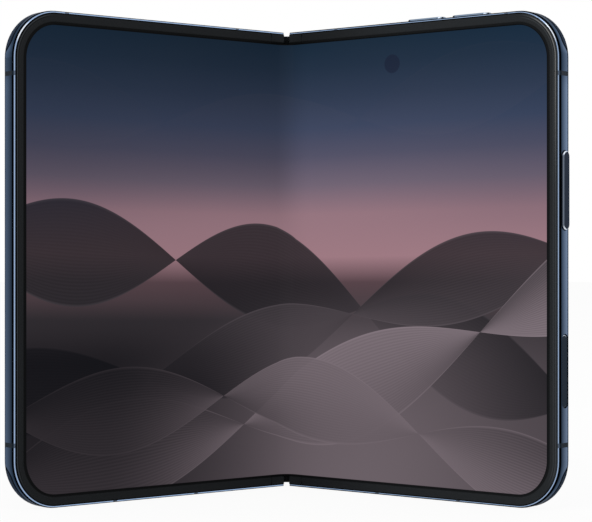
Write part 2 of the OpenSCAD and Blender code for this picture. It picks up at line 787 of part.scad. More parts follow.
module charging_coil() color("#a8693c") on_half(1)
    slab(battery_y + battery_t + gap, battery_y + battery_t + coil_t)
    translate([battery_u + battery_w / 2, battery_z + right_battery_h / 2]) difference() {
        circle(coil_r);
        circle(coil_hole_r);
    }

module main_board() color("#1f3a34") on_half(1) slab(board_y, board_y + board_t) difference() {
    intersection() {
        translate([battery_u, board_z]) square([battery_w, board_top - board_z]);
        half_outline(wall_in + board_corner, battery_u);
    }
    translate([lens_u + lens_spacing / 2, plateau_at[1]])
        square([lens_spacing + module_size + 2 * gap, module_size + 2 * gap], center = true);
    translate(inner_camera_at) circle(d = inner_camera_d + 2 * camera_flange + 4 * gap);
}

module board_shields() color("#aeb4bb") on_half(1)
    for (s = shields) translate([s[0], board_y + board_t, board_z + shield_gap])
        cube([s[1] - s[0], shield_t, shield_h]);

module inner_camera() color("#12151a") on_half(1) {
    pin_y(inner_camera_at, plate_y, bay_y - plate_y + inner_flange_t, inner_camera_d);
    pin_y(inner_camera_at, bay_y + gap, inner_flange_t, inner_camera_d + 2 * camera_flange);
}

module port_shell() color("#9aa2ac") on_half(1) on_bottom(port_u)
    translate([0, 0, -port_depth]) difference() {
        linear_extrude(port_depth - fuse) stadium(port_w + 2 * port_wall, port_h + 2 * port_wall);
        translate([0, 0, port_wall]) linear_extrude(port_depth) stadium(port_w, port_h);
    }

module port_tongue() color("#1b1d20") on_half(1) on_bottom(port_u)
    translate([0, 0, port_wall - port_depth]) linear_extrude(port_depth - port_wall - tongue_short)
        square([tongue_w, tongue_t], center = true);

module vibration_motor() color("#7f868f") on_half(1)
    translate([battery_u + motor_space, board_y, wall_in + motor_space]) cube(motor_size);

// ---------------------------------------------------------------- buttons

module button_hole(l) {
    pocket = button_cap + button_travel + gap;
    translate([0, 0, -pocket]) linear_extrude(pocket + 1) stadium(l + 2 * gap, button_w + 2 * gap);
    translate([0, 0, -wall_t - 1]) linear_extrude(wall_t + 1)
        stadium(l - stem_short + 2 * gap, stem_w + 2 * gap);
}

// Cap in the frame's pocket, stem through the wall and the clip that holds it inside
module button(l, top) {
    translate([0, 0, -button_cap]) pill(l, button_w, button_cap + top, cap_round);
    translate([0, 0, -wall_t - fuse]) linear_extrude(wall_t - button_cap + 2 * fuse)
        stadium(l - stem_short, stem_w);
    translate([0, 0, -wall_t - seat - clip_t]) linear_extrude(clip_t)
        stadium(l - stem_short + clip_l, clip_w);
}

module glass_plan(l) stadium(l - 2 * button_ring, button_w - 2 * button_ring);

module power_button() color("#7f8fa8") on_half(1) on_side(power_z) difference() {
    button(power_l, button_proud);
    translate([0, 0, button_proud - glass_sink]) linear_extrude(1) glass_plan(power_l);
}

module power_button_glass() color("#2f3746") on_half(1) on_side(power_z)
    translate([0, 0, button_proud - glass_sink]) linear_extrude(glass_sink) glass_plan(power_l);

module volume_down_button() color("#5d6d85") on_half(1) on_top(volume_u[0])
    button(volume_l, button_proud);
module volume_up_button() color("#5d6d85") on_half(1) on_top(volume_u[1])
    button(volume_l, button_proud);
module camera_key() color("#2a3342") on_half(1) on_side(camera_key_z)
    button(camera_key_l, -key_sink);

// Switches behind the buttons, each just beyond the button's travel
module switch() translate([0, 0, -switch_in]) {
    linear_extrude(switch_t - plunger_t) stadium(switch_l, switch_w);
    linear_extrude(switch_t) circle(d = plunger_d);
}

module button_switches() color("#b7bcc4") on_half(1) {
    on_side(power_z) switch();
    on_side(camera_key_z) switch();
    for (u = volume_u) on_top(u) switch();
}

spine_cover();
spine_end_plugs();
hinge_bases();
hinge_base_screws();
friction_plates();
left_idler_gears();
right_idler_gears();
screen_fold();
left_frame();
left_antenna_bands();
left_bezel();
left_fold_caps();
left_screen();
left_screen_plate();
left_wing_plate();
left_hinge_arms();
left_gear_shafts();
left_friction_discs();
left_arm_screws();
left_battery();
left_magnets();
left_speaker();
cover_glass();
cover_screen();
cover_camera();
right_frame();
right_antenna_bands();
right_bezel();
right_fold_caps();
right_screen();
right_screen_plate();
right_wing_plate();
right_hinge_arms();
right_gear_shafts();
right_friction_discs();
right_arm_screws();
right_battery();
right_magnets();
right_speaker();
back_glass();
charging_coil();
main_board();
board_shields();
inner_camera();
camera_plateau();
lens_rings();
lens_glasses();
rear_camera_modules();
flash_lens();
port_shell();
port_tongue();
vibration_motor();
button_switches();
power_button();
power_button_glass();
volume_up_button();
volume_down_button();
camera_key();
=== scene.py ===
"""Looks of a book-style folding phone: metal, glass, screen and small parts over the fixed frame."""
import json
import math

import bpy
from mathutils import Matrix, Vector


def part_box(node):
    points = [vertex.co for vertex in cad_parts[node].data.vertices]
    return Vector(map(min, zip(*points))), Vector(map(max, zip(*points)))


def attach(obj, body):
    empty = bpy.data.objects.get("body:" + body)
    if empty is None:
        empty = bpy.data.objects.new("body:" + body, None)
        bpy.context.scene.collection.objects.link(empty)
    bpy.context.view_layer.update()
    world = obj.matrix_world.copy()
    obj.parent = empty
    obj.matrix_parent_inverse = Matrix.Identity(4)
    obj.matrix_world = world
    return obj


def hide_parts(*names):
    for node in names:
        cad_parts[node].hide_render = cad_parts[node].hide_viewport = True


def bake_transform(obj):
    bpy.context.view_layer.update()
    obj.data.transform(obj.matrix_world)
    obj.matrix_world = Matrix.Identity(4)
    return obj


bl_info = {
    "name": "Folding phone",
    "version": (1, 0, 0),
    "blender": (4, 5, 0),
    "location": "View3D > Sidebar > Phone",
    "description": "Finishes the metal, glass, screen and small parts of a folding phone",
    "category": "Object",
}

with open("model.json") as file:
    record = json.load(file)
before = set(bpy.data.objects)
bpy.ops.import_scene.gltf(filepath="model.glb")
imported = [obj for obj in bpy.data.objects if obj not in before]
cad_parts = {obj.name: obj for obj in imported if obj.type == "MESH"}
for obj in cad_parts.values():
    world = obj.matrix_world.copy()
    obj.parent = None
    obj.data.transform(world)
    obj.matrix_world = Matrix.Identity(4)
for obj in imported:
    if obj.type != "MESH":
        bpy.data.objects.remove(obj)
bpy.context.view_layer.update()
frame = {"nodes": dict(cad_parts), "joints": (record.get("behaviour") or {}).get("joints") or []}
JOINTS = {joint["name"]: joint for joint in frame["joints"]}
MM = 0.001
LEFT, RIGHT = -1, 1
SIDE_NAMES = {LEFT: "left", RIGHT: "right"}
AXIS_X, AXIS_Y = JOINTS["right_fold"]["pos_m"][:2]
FOLD = math.radians(JOINTS["right_fold"]["range_deg"][1])
BODY_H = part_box("right_frame")[1].z
SPEAKER_HOLES = 5


def length(name, about, millimetres):
    """A size that a user may change."""
    return bpy.props.FloatProperty(
        name=name, description=about, default=millimetres * MM, unit="LENGTH", precision=5)


def colour(name, about, default):
    """A colour that a user may change."""
    return bpy.props.FloatVectorProperty(
        name=name, description=about, default=default, size=3, min=0.0, max=1.0, subtype="COLOR")


class PhoneSizes(bpy.types.PropertyGroup):
    """Sizes of the phone that the pieces of this scene share with its frame."""
    half_w: length("Half width", "Fold line to outer side", 83.8)
    half_t: length("Half thickness", "Thickness of one half", 4.8)
    corner_r: length("Corner radius", "Radius of the outer corners", 12.0)
    edge_r: length("Edge radius", "Radius of the frame's long edges", 0.9)
    axis_depth: length("Axis depth", "Hinge axes behind the frame's front", 1.85)
    screen_depth: length("Screen depth", "Screen's surface below the frame's front", 0.25)
    screen_t: length("Screen thickness", "Thickness of the flexible screen", 0.4)
    screen_inset: length("Screen inset", "Frame's outer side to the screen's edge", 3.3)
    unlit: length("Unlit margin", "Dark margin of the screen round its lit area", 0.2)
    bend_r: length("Bend radius", "Bend radius of the screen at the fold", 4.0)
    fold_u: length("Fold edge", "Fold line to the screen's fixed part", 6.03)
    inner_camera_u: length("Inner camera", "Fold line to the camera under the screen", 34.9)
    inner_camera_z: length("Inner camera height", "Height of that camera's centre", 110.1)
    inner_camera_d: length("Inner camera diameter", "Diameter of that camera's window", 5.0)
    cover_camera_z: length("Cover camera height", "Height of the cover camera's centre", 112.0)
    cover_camera_d: length("Cover camera diameter", "Diameter of the cover camera's window", 3.6)
    power_z: length("Power button", "Height of the power button's centre", 76.8)
    power_l: length("Power button length", "Length of the power button", 19.0)
    button_w: length("Button width", "Width of the side buttons", 2.9)
    volume_up_u: length("Volume up", "Fold line to the volume up button's centre", 57.5)
    volume_down_u: length("Volume down", "Fold line to the volume down button's centre", 44.1)
    volume_l: length("Volume button length", "Length of each volume button", 11.0)
    key_z: length("Camera key", "Height of the camera key's centre", 33.5)
    key_l: length("Camera key length", "Length of the camera key", 17.6)
    lens_u: length("First lens", "Fold line to the first rear lens", 45.5)
    lens_spacing: length("Lens spacing", "Distance between the rear lenses", 19.0)
    lens_z: length("Lens height", "Height of the rear lenses", 103.0)
    lens_y: length("Lens face", "Lens glass's face behind the frame's front", 7.1)
    lens_t: length("Lens thickness", "Thickness of the lens glass", 0.4)
    lens_d: length("Lens diameter", "Diameter of the lens glass", 10.46)
    port_u: length("Port", "Fold line to the charging port", 42.6)
    edge_hole_y: length("Edge openings", "Port and speaker holes behind the frame's front", 2.55)
    speaker_u: length("First speaker hole", "Fold line to the first speaker hole", 58.0)
    speaker_pitch: length("Speaker pitch", "Distance between speaker holes", 2.1)
    speaker_d: length("Speaker hole", "Diameter of a speaker hole", 1.3)


class PhoneColours(bpy.types.PropertyGroup):
    """Colours of the phone's metal, glass and screen."""
    metal: colour("Metal", "Dark blue metal of the frame", (0.066, 0.094, 0.146))
    metal_lit: colour("Lit metal", "The same metal on the half that faces more light", (0.110, 0.148, 0.218))
    metal_deep: colour("Deep metal", "Darkest stretch of the metal's shading", (0.011, 0.018, 0.031))
    # The rim colour is a painted highlight: the light that the polished front edge reflects, painted into
    # its colour
    metal_rim: colour("Metal rim", "Bright polished edge of the metal", (0.30, 0.41, 0.60))
    shadow: colour("Seams", "Seams and dark lines of the frame", (0.0008, 0.0008, 0.0010))
    band: colour("Bands", "Plastic breaks in the frame", (0.006, 0.012, 0.020))
    bezel: colour("Bezel", "Frame round the screen", (0.0112, 0.0124, 0.0136))
    glass: colour("Back glass", "Satin glass of the back", (0.045, 0.070, 0.115))
    night: colour("Upper screen", "Top of the picture", (0.0098, 0.0235, 0.0440))
    dusk: colour("Blue haze", "Blue stretch below the picture's top", (0.048, 0.063, 0.116))
    violet: colour("Violet haze", "Violet stretch above the glow", (0.165, 0.128, 0.174))
    glow: colour("Glow", "Brightest stretch of the picture", (0.340, 0.193, 0.224))
    coal: colour("Dark ribbons", "Darkest ribbons of the picture", (0.0125, 0.0118, 0.0145))
    mauve: colour("Light ribbons", "Lightest ribbons of the picture", (0.185, 0.148, 0.168))


class OnScene:
    """Reads the values set in one of the scene's groups."""

    def __init__(self, group):
        self.group = group

    def __getattr__(self, key):
        return getattr(getattr(bpy.context.scene, self.group), key)


sizes, colours = OnScene("phone_sizes"), OnScene("phone_colours")


# ---- places


def on_half(side, u, y, z):
    """A point given on a flat half, as distance from the fold, depth and height, where the half leans."""
    depth = y - sizes.axis_depth
    out = u - AXIS_X
    return Vector((
        side * (AXIS_X + out * math.cos(FOLD) + depth * math.sin(FOLD)),
        AXIS_Y - out * math.sin(FOLD) + depth * math.cos(FOLD),
        z))


def outward(side):
    """Direction along a half, away from the fold."""
    return Vector((side * math.cos(FOLD), -math.sin(FOLD), 0))


def backward(side):
    """Direction from a half's screen to its back."""
    return Vector((side * math.sin(FOLD), math.cos(FOLD), 0))


def bend_centre():
    """Centre of the screen's bend between the leaning halves, and where the bend ends on a half."""
    depth = sizes.axis_depth - sizes.screen_depth
    apex_s = (AXIS_X - depth * math.sin(FOLD)) / math.cos(FOLD)
    apex_y = AXIS_Y - depth * math.cos(FOLD) + apex_s * math.sin(FOLD)
    centre = Vector((0, apex_y - sizes.bend_r / math.cos(FOLD), 0))
    return centre, AXIS_X - apex_s + sizes.bend_r * math.tan(FOLD)


# ---- modelling


def start_clean():
    """Leaves edit mode and deselects everything."""
    if bpy.context.object and bpy.context.object.mode != "OBJECT":
        bpy.ops.object.mode_set(mode="OBJECT")
    bpy.ops.object.select_all(action="DESELECT")


def settle():
    """Puts the active piece's place, turn and scale into its mesh."""
    bpy.ops.object.transform_apply(location=True, rotation=True, scale=True)


def edit_all():
    """Enters edit mode with the whole piece selected."""
    bpy.ops.object.mode_set(mode="EDIT")
    bpy.ops.mesh.select_all(action="SELECT")


def finish_piece(name, material, body, smooth_deg=30):
    """Names the active piece and gives it its finish and body."""
    if bpy.context.object.mode != "OBJECT":
        bpy.ops.object.mode_set(mode="OBJECT")
    piece = bpy.context.object
    settle()
    bpy.ops.object.shade_smooth_by_angle(angle=math.radians(smooth_deg))
    piece.name = piece.data.name = name
    piece.data.materials.clear()
    piece.data.materials.append(material)
    if body:
        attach(piece, body)
    return piece


def facing_back(side):
    """Euler turn that points a primitive's Z out of a half's back."""
    return (-math.pi / 2, 0, -side * FOLD)


def facing_down(side):
    """Euler turn that points a primitive's Z down, with its X along the half."""
    return (math.pi, 0, -side * FOLD)


def pick(*pieces):
    """Selects pieces and makes the last one active."""
    start_clean()
    for piece in pieces:
        piece.select_set(True)
    bpy.context.view_layer.objects.active = pieces[-1]


def copied(piece, step):
    """A copy of a piece with its own mesh, moved by a step."""
    pick(piece)
    bpy.ops.object.duplicate_move(
        OBJECT_OT_duplicate={"linked": False}, TRANSFORM_OT_translate={"value": step})
    return bpy.context.object


def row_of(first, count, step):
    """Copies a piece in a row and joins the row."""
    row = [first]
    while len(row) < count:
        row.append(copied(row[-1], step))
    pick(*row)
    bpy.ops.object.join()
    return bpy.context.object


# ---- shader helpers


class Value:
    """A socket under Python arithmetic: each operator adds a Math node."""

    def __init__(self, look, socket):
        self.look = look
        self.socket = socket

    def math(self, operation, *others):
        return self.look.add("ShaderNodeMath", {"operation": operation}, self, *others)

    def wave(self):
        """Swings between 0 and 1 with the value's sine."""
        return self.math("SINE") * 0.5 + 0.5

    def __add__(self, other):
        return self.math("ADD", other)

    def __sub__(self, other):
        return self.math("SUBTRACT", other)

    def __mul__(self, other):
        return self.math("MULTIPLY", other)

    def __truediv__(self, other):
        return self.math("DIVIDE", other)

    def __rsub__(self, other):
        return self.look.add("ShaderNodeMath", {"operation": "SUBTRACT"}, other, self)

    def __or__(self, other):
        """The greater of the two, which lays one mask over another."""
        return self.math("MAXIMUM", other)

    def __abs__(self):
        return self.math("ABSOLUTE")

    __radd__ = __add__
    __rmul__ = __mul__


class Look:
    """A material or world in the making. add() makes any node and gives one of its outlets."""

    def __init__(self, name, owner=None):
        self.owner = owner or bpy.data.materials.new(name)
        self.owner.use_nodes = True
        self.tree = self.owner.node_tree
        self.tree.nodes.clear()

    def add(self, kind, settings=None, *values, outlet=0, **named):
        node = self.tree.nodes.new(kind)
        for key, setting in (settings or {}).items():
            if key == "stops":
                set_stops(node.color_ramp, setting)
            else:
                setattr(node, key, setting)
        places = list(enumerate(values)) + [(key.replace("_", " "), value) for key, value in named.items()]
        for place, value in places:
            self.join(node.inputs[place], value)
        return Value(self, node.outputs[outlet])

    def join(self, inlet, value):
        if isinstance(value, Value):
            self.tree.links.new(value.socket, inlet)
        elif inlet.type == "RGBA" and len(value) == 3:
            inlet.default_value = (*value, 1.0)
        else:
            inlet.default_value = value

    def place(self):
        return self.add("ShaderNodeTexCoord", outlet=3)

    def noise(self, scale, detail=3.0, where=None):
        return self.add("ShaderNodeTexNoise", None, Vector=where or self.place(), Scale=scale,
                        Detail=detail, Roughness=0.55)

    def dot(self, vector, direction):
        return self.add("ShaderNodeVectorMath", {"operation": "DOT_PRODUCT"}, vector, direction, outlet=1)

    def mix(self, first, second, share):
        """Mixes two colours. share 0 is the first."""
        node = self.tree.nodes.new("ShaderNodeMix")
        node.data_type = "RGBA"
        for place, value in ((0, share), (6, first), (7, second)):
            self.join(node.inputs[place], value)
        return Value(self, node.outputs[2])

    def spread(self, value, low, high, to_low=0.0, to_high=1.0, shape="SMOOTHSTEP"):
        """Maps a value from one range to another and holds it there outside."""
        return self.add("ShaderNodeMapRange", {"interpolation_type": shape, "clamp": True},
                        value, low, high, to_low, to_high)

    def fade(self, value, low, high):
        """1 up to the low value and 0 from the high one."""
        return self.spread(value, low, high, 1.0, 0.0)

    def between(self, grain, low, high):
        """Two values of a grain's valleys and crests."""
        return self.spread(grain, 0.3, 0.7, low, high)

    def mottled(self, tint, low, high, share):
        """A colour that wanders between two factors of itself."""
        return self.mix(tinted(tint, low), tinted(tint, high), share)

    def bump(self, height, strength, distance):
        return self.add("ShaderNodeBump", None, Strength=strength, Distance=distance, Height=height)

    def close(self, surface, output="ShaderNodeOutputMaterial"):
        out = self.tree.nodes.new(output)
        self.tree.links.new(surface.socket, out.inputs["Surface"])
        return self.owner

    def skin(self, base, grain=None, rough=None, relief=None, **sockets):
        """Closes the material with one Principled shader. A grain moves its roughness between two values and
        raises it by a bump's strength and distance."""
        if rough:
            sockets["Roughness"] = self.between(grain, *rough)
        if relief:
            sockets["Normal"] = self.bump(grain, *relief)
        return self.close(self.add("ShaderNodeBsdfPrincipled", None, base, **sockets))


def set_stops(ramp, stops):
    while len(ramp.elements) > 1:
        ramp.elements.remove(ramp.elements[-1])
    ramp.elements[0].position, ramp.elements[0].color = stops[0][0], (*stops[0][1], 1.0)
    for position, tint in stops[1:]:
        element = ramp.elements.new(position)
        element.color = (*tint, 1.0)


def tinted(base, factor):
    return tuple(min(1.0, part * factor) for part in base)


# ---- finishes: metal


# Colour of the dark metal at a glancing angle, and of a lamp's glint on polished metal
EDGE_TINT = (0.50, 0.55, 0.62)
GLINT = (0.80, 0.86, 0.95)
BLACK = (0.0, 0.0, 0.0)
# A length in metres too short to matter
TINY = 1e-6


class HalfPlace:
    """Where a point lies in a half, in metres: out from the fold line, height, depth behind the front, inset
    from the outline, and turn, from 0 on the side wall to 1 on the top and bottom walls."""

    def __init__(self, look, side):
        place = look.place()
        axis = Vector((side * AXIS_X, AXIS_Y, 0))
        normal = backward(side)
        self.out = look.dot(place, outward(side)) + (AXIS_X - axis.dot(outward(side)))
        self.height = look.dot(place, (0.0, 0.0, 1.0))
        self.depth = look.dot(place, normal) - (axis.dot(normal) - sizes.axis_depth)
        across = self.out - (sizes.half_w - sizes.corner_r)
        up = abs(self.height - BODY_H / 2) - (BODY_H / 2 - sizes.corner_r)
        a, b = across.math("MAXIMUM", 0.0), up.math("MAXIMUM", 0.0)
        inside = across.math("MAXIMUM", up).math("MINIMUM", 0.0)
        self.inset = sizes.corner_r - (a * a + b * b).math("SQRT") - inside
        self.turn = b / (a + b + TINY)

    def from_button(self, centre_z, button_l):
        """Distance of a point from a side button's outline, negative inside it."""
        round_r = sizes.button_w / 2
        along = (abs(self.height - centre_z) - (button_l / 2 - round_r)).math("MAXIMUM", 0.0)
        over = self.depth - sizes.half_t / 2
        return (along * along + over * over).math("SQRT") - round_r


def frame_metal(name, side):
    """Dark blue polished metal with painted light: painted shade deepest beside the front rim, a painted
    highlight on the rim, a painted dark reflection beside it, real dark seams, painted shade along the back
    edge, and a painted shaded step that runs round the corners."""
    look = Look(name)
    at = HalfPlace(look, side)
    grain = look.noise(9000, 2.0)
    # Painted light: the left half takes the shaded metal and the right half its lit copy, each painted
    # lighter towards the foot of its walls by the factor foot
    if side == LEFT:
        tone, foot, step_share, slim, outline_shade = colours.metal, 1.14, 0.43, 0.0, 0.95
    else:
        tone, foot, step_share, slim, outline_shade = colours.metal_lit, 1.30, 0.50, 0.07 * MM, 0.88

    lit = look.mix(tinted(tone, foot), tone, look.spread(at.height, 0.05 * BODY_H, 0.55 * BODY_H))
    lit = look.mix(lit, tinted(tone, 1.25), look.noise(45, 2.0) * 0.2)
    # Painted shade: the wall is painted deepest beside the front rim and lighter towards the back
    wall = look.spread(at.depth, 0.6 * MM, 3.5 * MM, shape="LINEAR")
    base = look.mix(colours.metal_deep, lit, wall)
    # Painted shade: the side walls darker towards their top, away from the fold
    outer = look.spread(at.out, 0.25 * sizes.half_w, 0.5 * sizes.half_w)
    above = look.spread(at.height, 0.838 * BODY_H, 0.885 * BODY_H, 0.0, 0.45) * outer
    base = look.mix(base, tinted(colours.metal_deep, 0.4), above * look.fade(at.turn, 0.05, 0.20))

    # Painted shade: a shaded step leaves the back edge on the side wall and runs along the corner at its own
    # depth; beyond it the metal is painted darker and less metallic, and the crease is a painted dark line
    # along the step
    corner = look.spread(at.turn, 0.02, 0.14) - look.spread(at.turn, 0.80, 0.97)
    step = at.depth - look.spread(at.turn, 0.02, 0.28, 0.96 * sizes.half_t, step_share * sizes.half_t)
    beyond = look.spread(step, 0.0, 0.15 * MM) * corner
    corner_shade = beyond | look.spread(at.turn, 0.42, 0.70) * corner
    base = look.mix(base, tinted(colours.metal, 0.5), corner_shade)
    shade = look.spread(step, 0.1 * MM, 1.2 * MM, 0.95, 0.1) * beyond
    base = look.mix(base, tinted(colours.metal, 0.18), shade)
    crease = look.spread(abs(step), 0.18 * MM, 0.42 * MM, 0.9, 0.0) * corner
    crease = crease * look.spread(at.turn, 0.45, 0.75, 1.0, 0.3)

    # Painted highlights: the front rim takes the rim highlight colour, brighter on the top and bottom walls,
    # with a painted white glint round the upper corners
    upper = look.spread(at.height, 0.55 * BODY_H, 0.60 * BODY_H)
    rim = look.mix(colours.metal_rim, tinted(colours.metal_rim, 1.35), look.spread(at.turn, 0.7, 0.9))
    rim = look.mix(rim, GLINT, look.fade(abs(at.turn - 0.39), 0.05, 0.16) * upper)
    edge = look.fade(at.depth, 0.23 * MM - slim, 0.32 * MM - slim)
    base = look.mix(base, rim, edge)

    # Dark lines: line is a painted dark reflection beside the rim, seam a real gap where the rim meets the
    # bezel, outline painted shade along the back edge, and crease the painted line of the corner step
    line = look.fade(at.depth, 0.66 * MM, 0.90 * MM) - edge
    lip = look.spread(at.turn, 0.6, 0.9, 0.49 * MM + slim, 0.44 * MM)
    seam = look.spread(at.inset - lip, 0.0, 0.08 * MM) * edge
    back = sizes.half_t - sizes.edge_r - 3 * slim
    outline = look.spread(at.depth, back - 0.10 * MM, back + 0.15 * MM, 0.0, outline_shade)
    outline = outline * look.fade(at.depth, sizes.half_t - 0.42 * MM, sizes.half_t - 0.27 * MM) * outer
    dark = line | seam | outline | crease
    if side == RIGHT:
        # Painted contact shadow round the power button's opening
        gap = at.from_button(sizes.power_z, sizes.power_l)
        dark |= look.spread(gap, 0.10 * MM, 0.24 * MM, 0.9, 0.0)
    return look.skin(look.mix(base, colours.shadow, dark), grain, None, (0.012, 0.00001),
                     Metallic=(1.0 - dark) * (1.0 - corner_shade * (1.0 - edge) * 0.9), IOR=1.01,
                     Specular_Tint=EDGE_TINT, Roughness=look.between(grain, 0.20, 0.25) - edge * 0.06)


def spine_metal(name):
    """The same dark blue metal on the round back of the hinge, brushed along the fold line."""
    look = Look(name)
    drawn = look.add("ShaderNodeMapping", None, Vector=look.place(), Scale=(1.0, 1.0, 0.03))
    grain = look.noise(3800, where=drawn)
    base = look.mottled(colours.metal, 0.70, 1.0, grain)
    return look.skin(base, grain, (0.22, 0.30), (0.03, 0.00002), Metallic=1.0, Specular_Tint=EDGE_TINT)


def antenna_plastic(name, side):
    """Plastic in the frame's breaks, close to the metal's colour, with the metal rim's painted highlight
    running over it, dimmer.
    """
    look = Look(name)
    at = HalfPlace(look, side)
    grain = look.noise(4200)
    base = look.mottled(colours.band, 0.85, 1.15, grain)
    # Painted highlight: the rim's highlight, dimmer, carried over the plastic's front edge
    base = look.mix(base, tinted(colours.metal_rim, 0.30), look.fade(at.depth, 0.24 * MM, 0.31 * MM))
    return look.skin(base, grain, (0.36, 0.46), (0.06, 0.00002), IOR=1.12)


def button_ring(name):
    """Polished ring of the power button, with painted highlights round its two ends and painted shade down
    its sides.
    """
    look = Look(name)
    at = HalfPlace(look, RIGHT)
    grain = look.noise(2600, 2.0)
    away = abs(at.height - sizes.power_z)
    # Painted highlights round the two ends and painted shade on the sides that sit in the frame
    ends = look.spread(away, sizes.power_l / 2 - 1.2 * MM, sizes.power_l / 2 - 0.4 * MM)
    face = look.spread(at.out - sizes.half_w, 0.07 * MM, 0.19 * MM)
    side_shade_tone, face_tone, end_glint_tone = (0.008, 0.012, 0.020), (0.125, 0.152, 0.195), (0.66, 0.71, 0.78)
    base = look.mix(look.mix(side_shade_tone, face_tone, face), end_glint_tone, ends)
    return look.skin(base, grain, (0.12, 0.18), (0.03, 0.00001), Metallic=1.0, Specular_Tint=EDGE_TINT)


def volume_metal(name, centre_u):
    """Lighter metal of a volume button, with shaded ends and a glint near the outer one."""
    look = Look(name)
    grain = look.noise(2600, 2.0)
    along = (HalfPlace(look, RIGHT).out - centre_u) / (sizes.volume_l / 2)
    base = look.mix((0.165, 0.225, 0.315), (0.200, 0.270, 0.370), grain)
    glint = look.fade(abs(along - 0.83), 0.04, 0.08)
    base = look.mix(base, (0.50, 0.57, 0.67), glint)
    dark = look.fade(along, -0.84, -0.72) | look.fade(abs(along - 0.945), 0.014, 0.030)
    return look.skin(look.mix(base, (0.003, 0.004, 0.007), dark), grain, (0.20, 0.26), (0.03, 0.00001),
                     Metallic=1.0 - dark * 0.9, IOR=1.1)


def polished_metal(name, tint, roughness):
    look = Look(name)
    grain = look.noise(2600, 2.0)
    base = look.mottled(tint, 0.88, 1.08, look.noise(160, 2.0))
    return look.skin(base, grain, (roughness, roughness + 0.07), (0.05, 0.00001), Metallic=1.0)


def turned_metal(name, tint):
    """Metal with fine circles round the rear lenses, as a lathe leaves."""
    look = Look(name)
    circles = (from_lens(look) * 26000.0).wave()
    base = look.mottled(tint, 0.8, 1.0, circles)
    return look.skin(base, Metallic=1.0, Roughness=look.spread(circles, 0, 1, 0.18, 0.26),
                     Normal=look.bump(circles, 0.08, 0.00001))


def brushed_metal(name, tint, along=(1.0, 1.0, 30.0)):
    look = Look(name)
    stretched = look.add("ShaderNodeMapping", None, Vector=look.place(), Scale=along)
    grain = look.noise(900, 4.0, where=stretched)
    return look.skin(look.mottled(tint, 0.75, 1.0, grain), grain, (0.30, 0.42), (0.08, 0.00002),
                     Metallic=1.0)


# ---- finishes: plastic and glass


def moulded(name, tint, ior=1.3):
    """Plastic with a fine moulded grain."""
    look = Look(name)
    grain = look.noise(3600)
    return look.skin(look.mottled(tint, 0.82, 1.15, grain), grain, (0.44, 0.56), (0.12, 0.00002), IOR=ior)


# Tone of each bezel's flat part and of its deep band of painted shade, as shares of its colour, and its
# lines along the side walls, the pale ones painted highlights: inset from the outline in millimetres and
# share. The right bezel's higher shares are painted light, on the half that faces more light.
BEZEL_LINES = {
    LEFT: (1.42, 0.35, (
        (0.88, 0.05), (0.95, 3.5), (1.15, 3.5), (1.24, 0.85), (1.46, 0.85), (1.55, 1.6), (1.76, 1.6))),
    RIGHT: (2.35, 0.80, (
        (0.60, 5.0), (0.72, 2.6), (0.98, 2.8), (1.06, 5.2), (1.26, 5.2), (1.36, 2.0), (1.55, 2.0),
        (1.62, 4.3), (1.80, 4.3))),
}


def bezel_plastic(name, side):
    """Satin black bezel: pale lines of painted highlight and dark lines along the side walls, a deeper band
    of painted shade beside the lit area and lighter ends at the fold."""
    look = Look(name)
    at = HalfPlace(look, side)
    grain = look.noise(6000)
    inner = sizes.screen_inset / MM
    band = (inner - 0.72, inner - 0.48)
    flat, deep, lines = BEZEL_LINES[side]

    def profile(*shares):
        """Tone of the bezel across its width."""
        stops = (*shares, (band[0], flat), (band[1], deep))
        return look.add("ShaderNodeValToRGB", {"stops": tuple(
            (inset / inner, tinted(colours.bezel, share)) for inset, share in stops)},
            at.inset / sizes.screen_inset)

    upper = look.spread(at.height, 0.4 * BODY_H, 0.6 * BODY_H)
    walls = profile(*lines, (lines[-1][0] + 0.10, flat))
    # Painted highlight: a pale hair line on the right bezel's upper side wall and corner
    if side == RIGHT:
        hair = look.spread(abs(at.inset - 1.17 * MM), 0.09 * MM, 0.17 * MM, 0.9, 0.0)
        hair = hair * look.spread(at.height, 0.60 * BODY_H, 0.93 * BODY_H)
        walls = look.mix(walls, (0.22, 0.22, 0.215), hair * look.fade(at.turn, 0.55, 0.76))
    base = look.mix(walls, profile((0.74, 0.05), (0.88, flat)),
                    look.spread(at.turn - upper * 0.5, 0.20, 0.45))
    # Painted shade: the right bezel darker towards the fold
    if side == RIGHT:
        base = look.mix(base, BLACK, look.spread(at.out, 5.0 * MM, 40.0 * MM, 0.42, 0.0))
    flat_part = look.fade(at.inset, band[0] * MM, band[1] * MM)
    lift = look.spread(at.out, AXIS_X, sizes.fold_u, 0.4, 0.0) * flat_part
    base = look.mix(base, tinted(colours.bezel, 2.4), lift)
    joint = look.spread(abs(at.out - sizes.fold_u), 0.08 * MM, 0.25 * MM, 0.7, 0.0)
    base = look.mix(base, colours.shadow, joint * look.fade(at.inset, 1.2 * MM, 1.9 * MM))
    base = look.mix(base, BLACK, grain * 0.30)
    return look.skin(base, grain, (0.34, 0.44), (0.06, 0.00002), IOR=1.10)


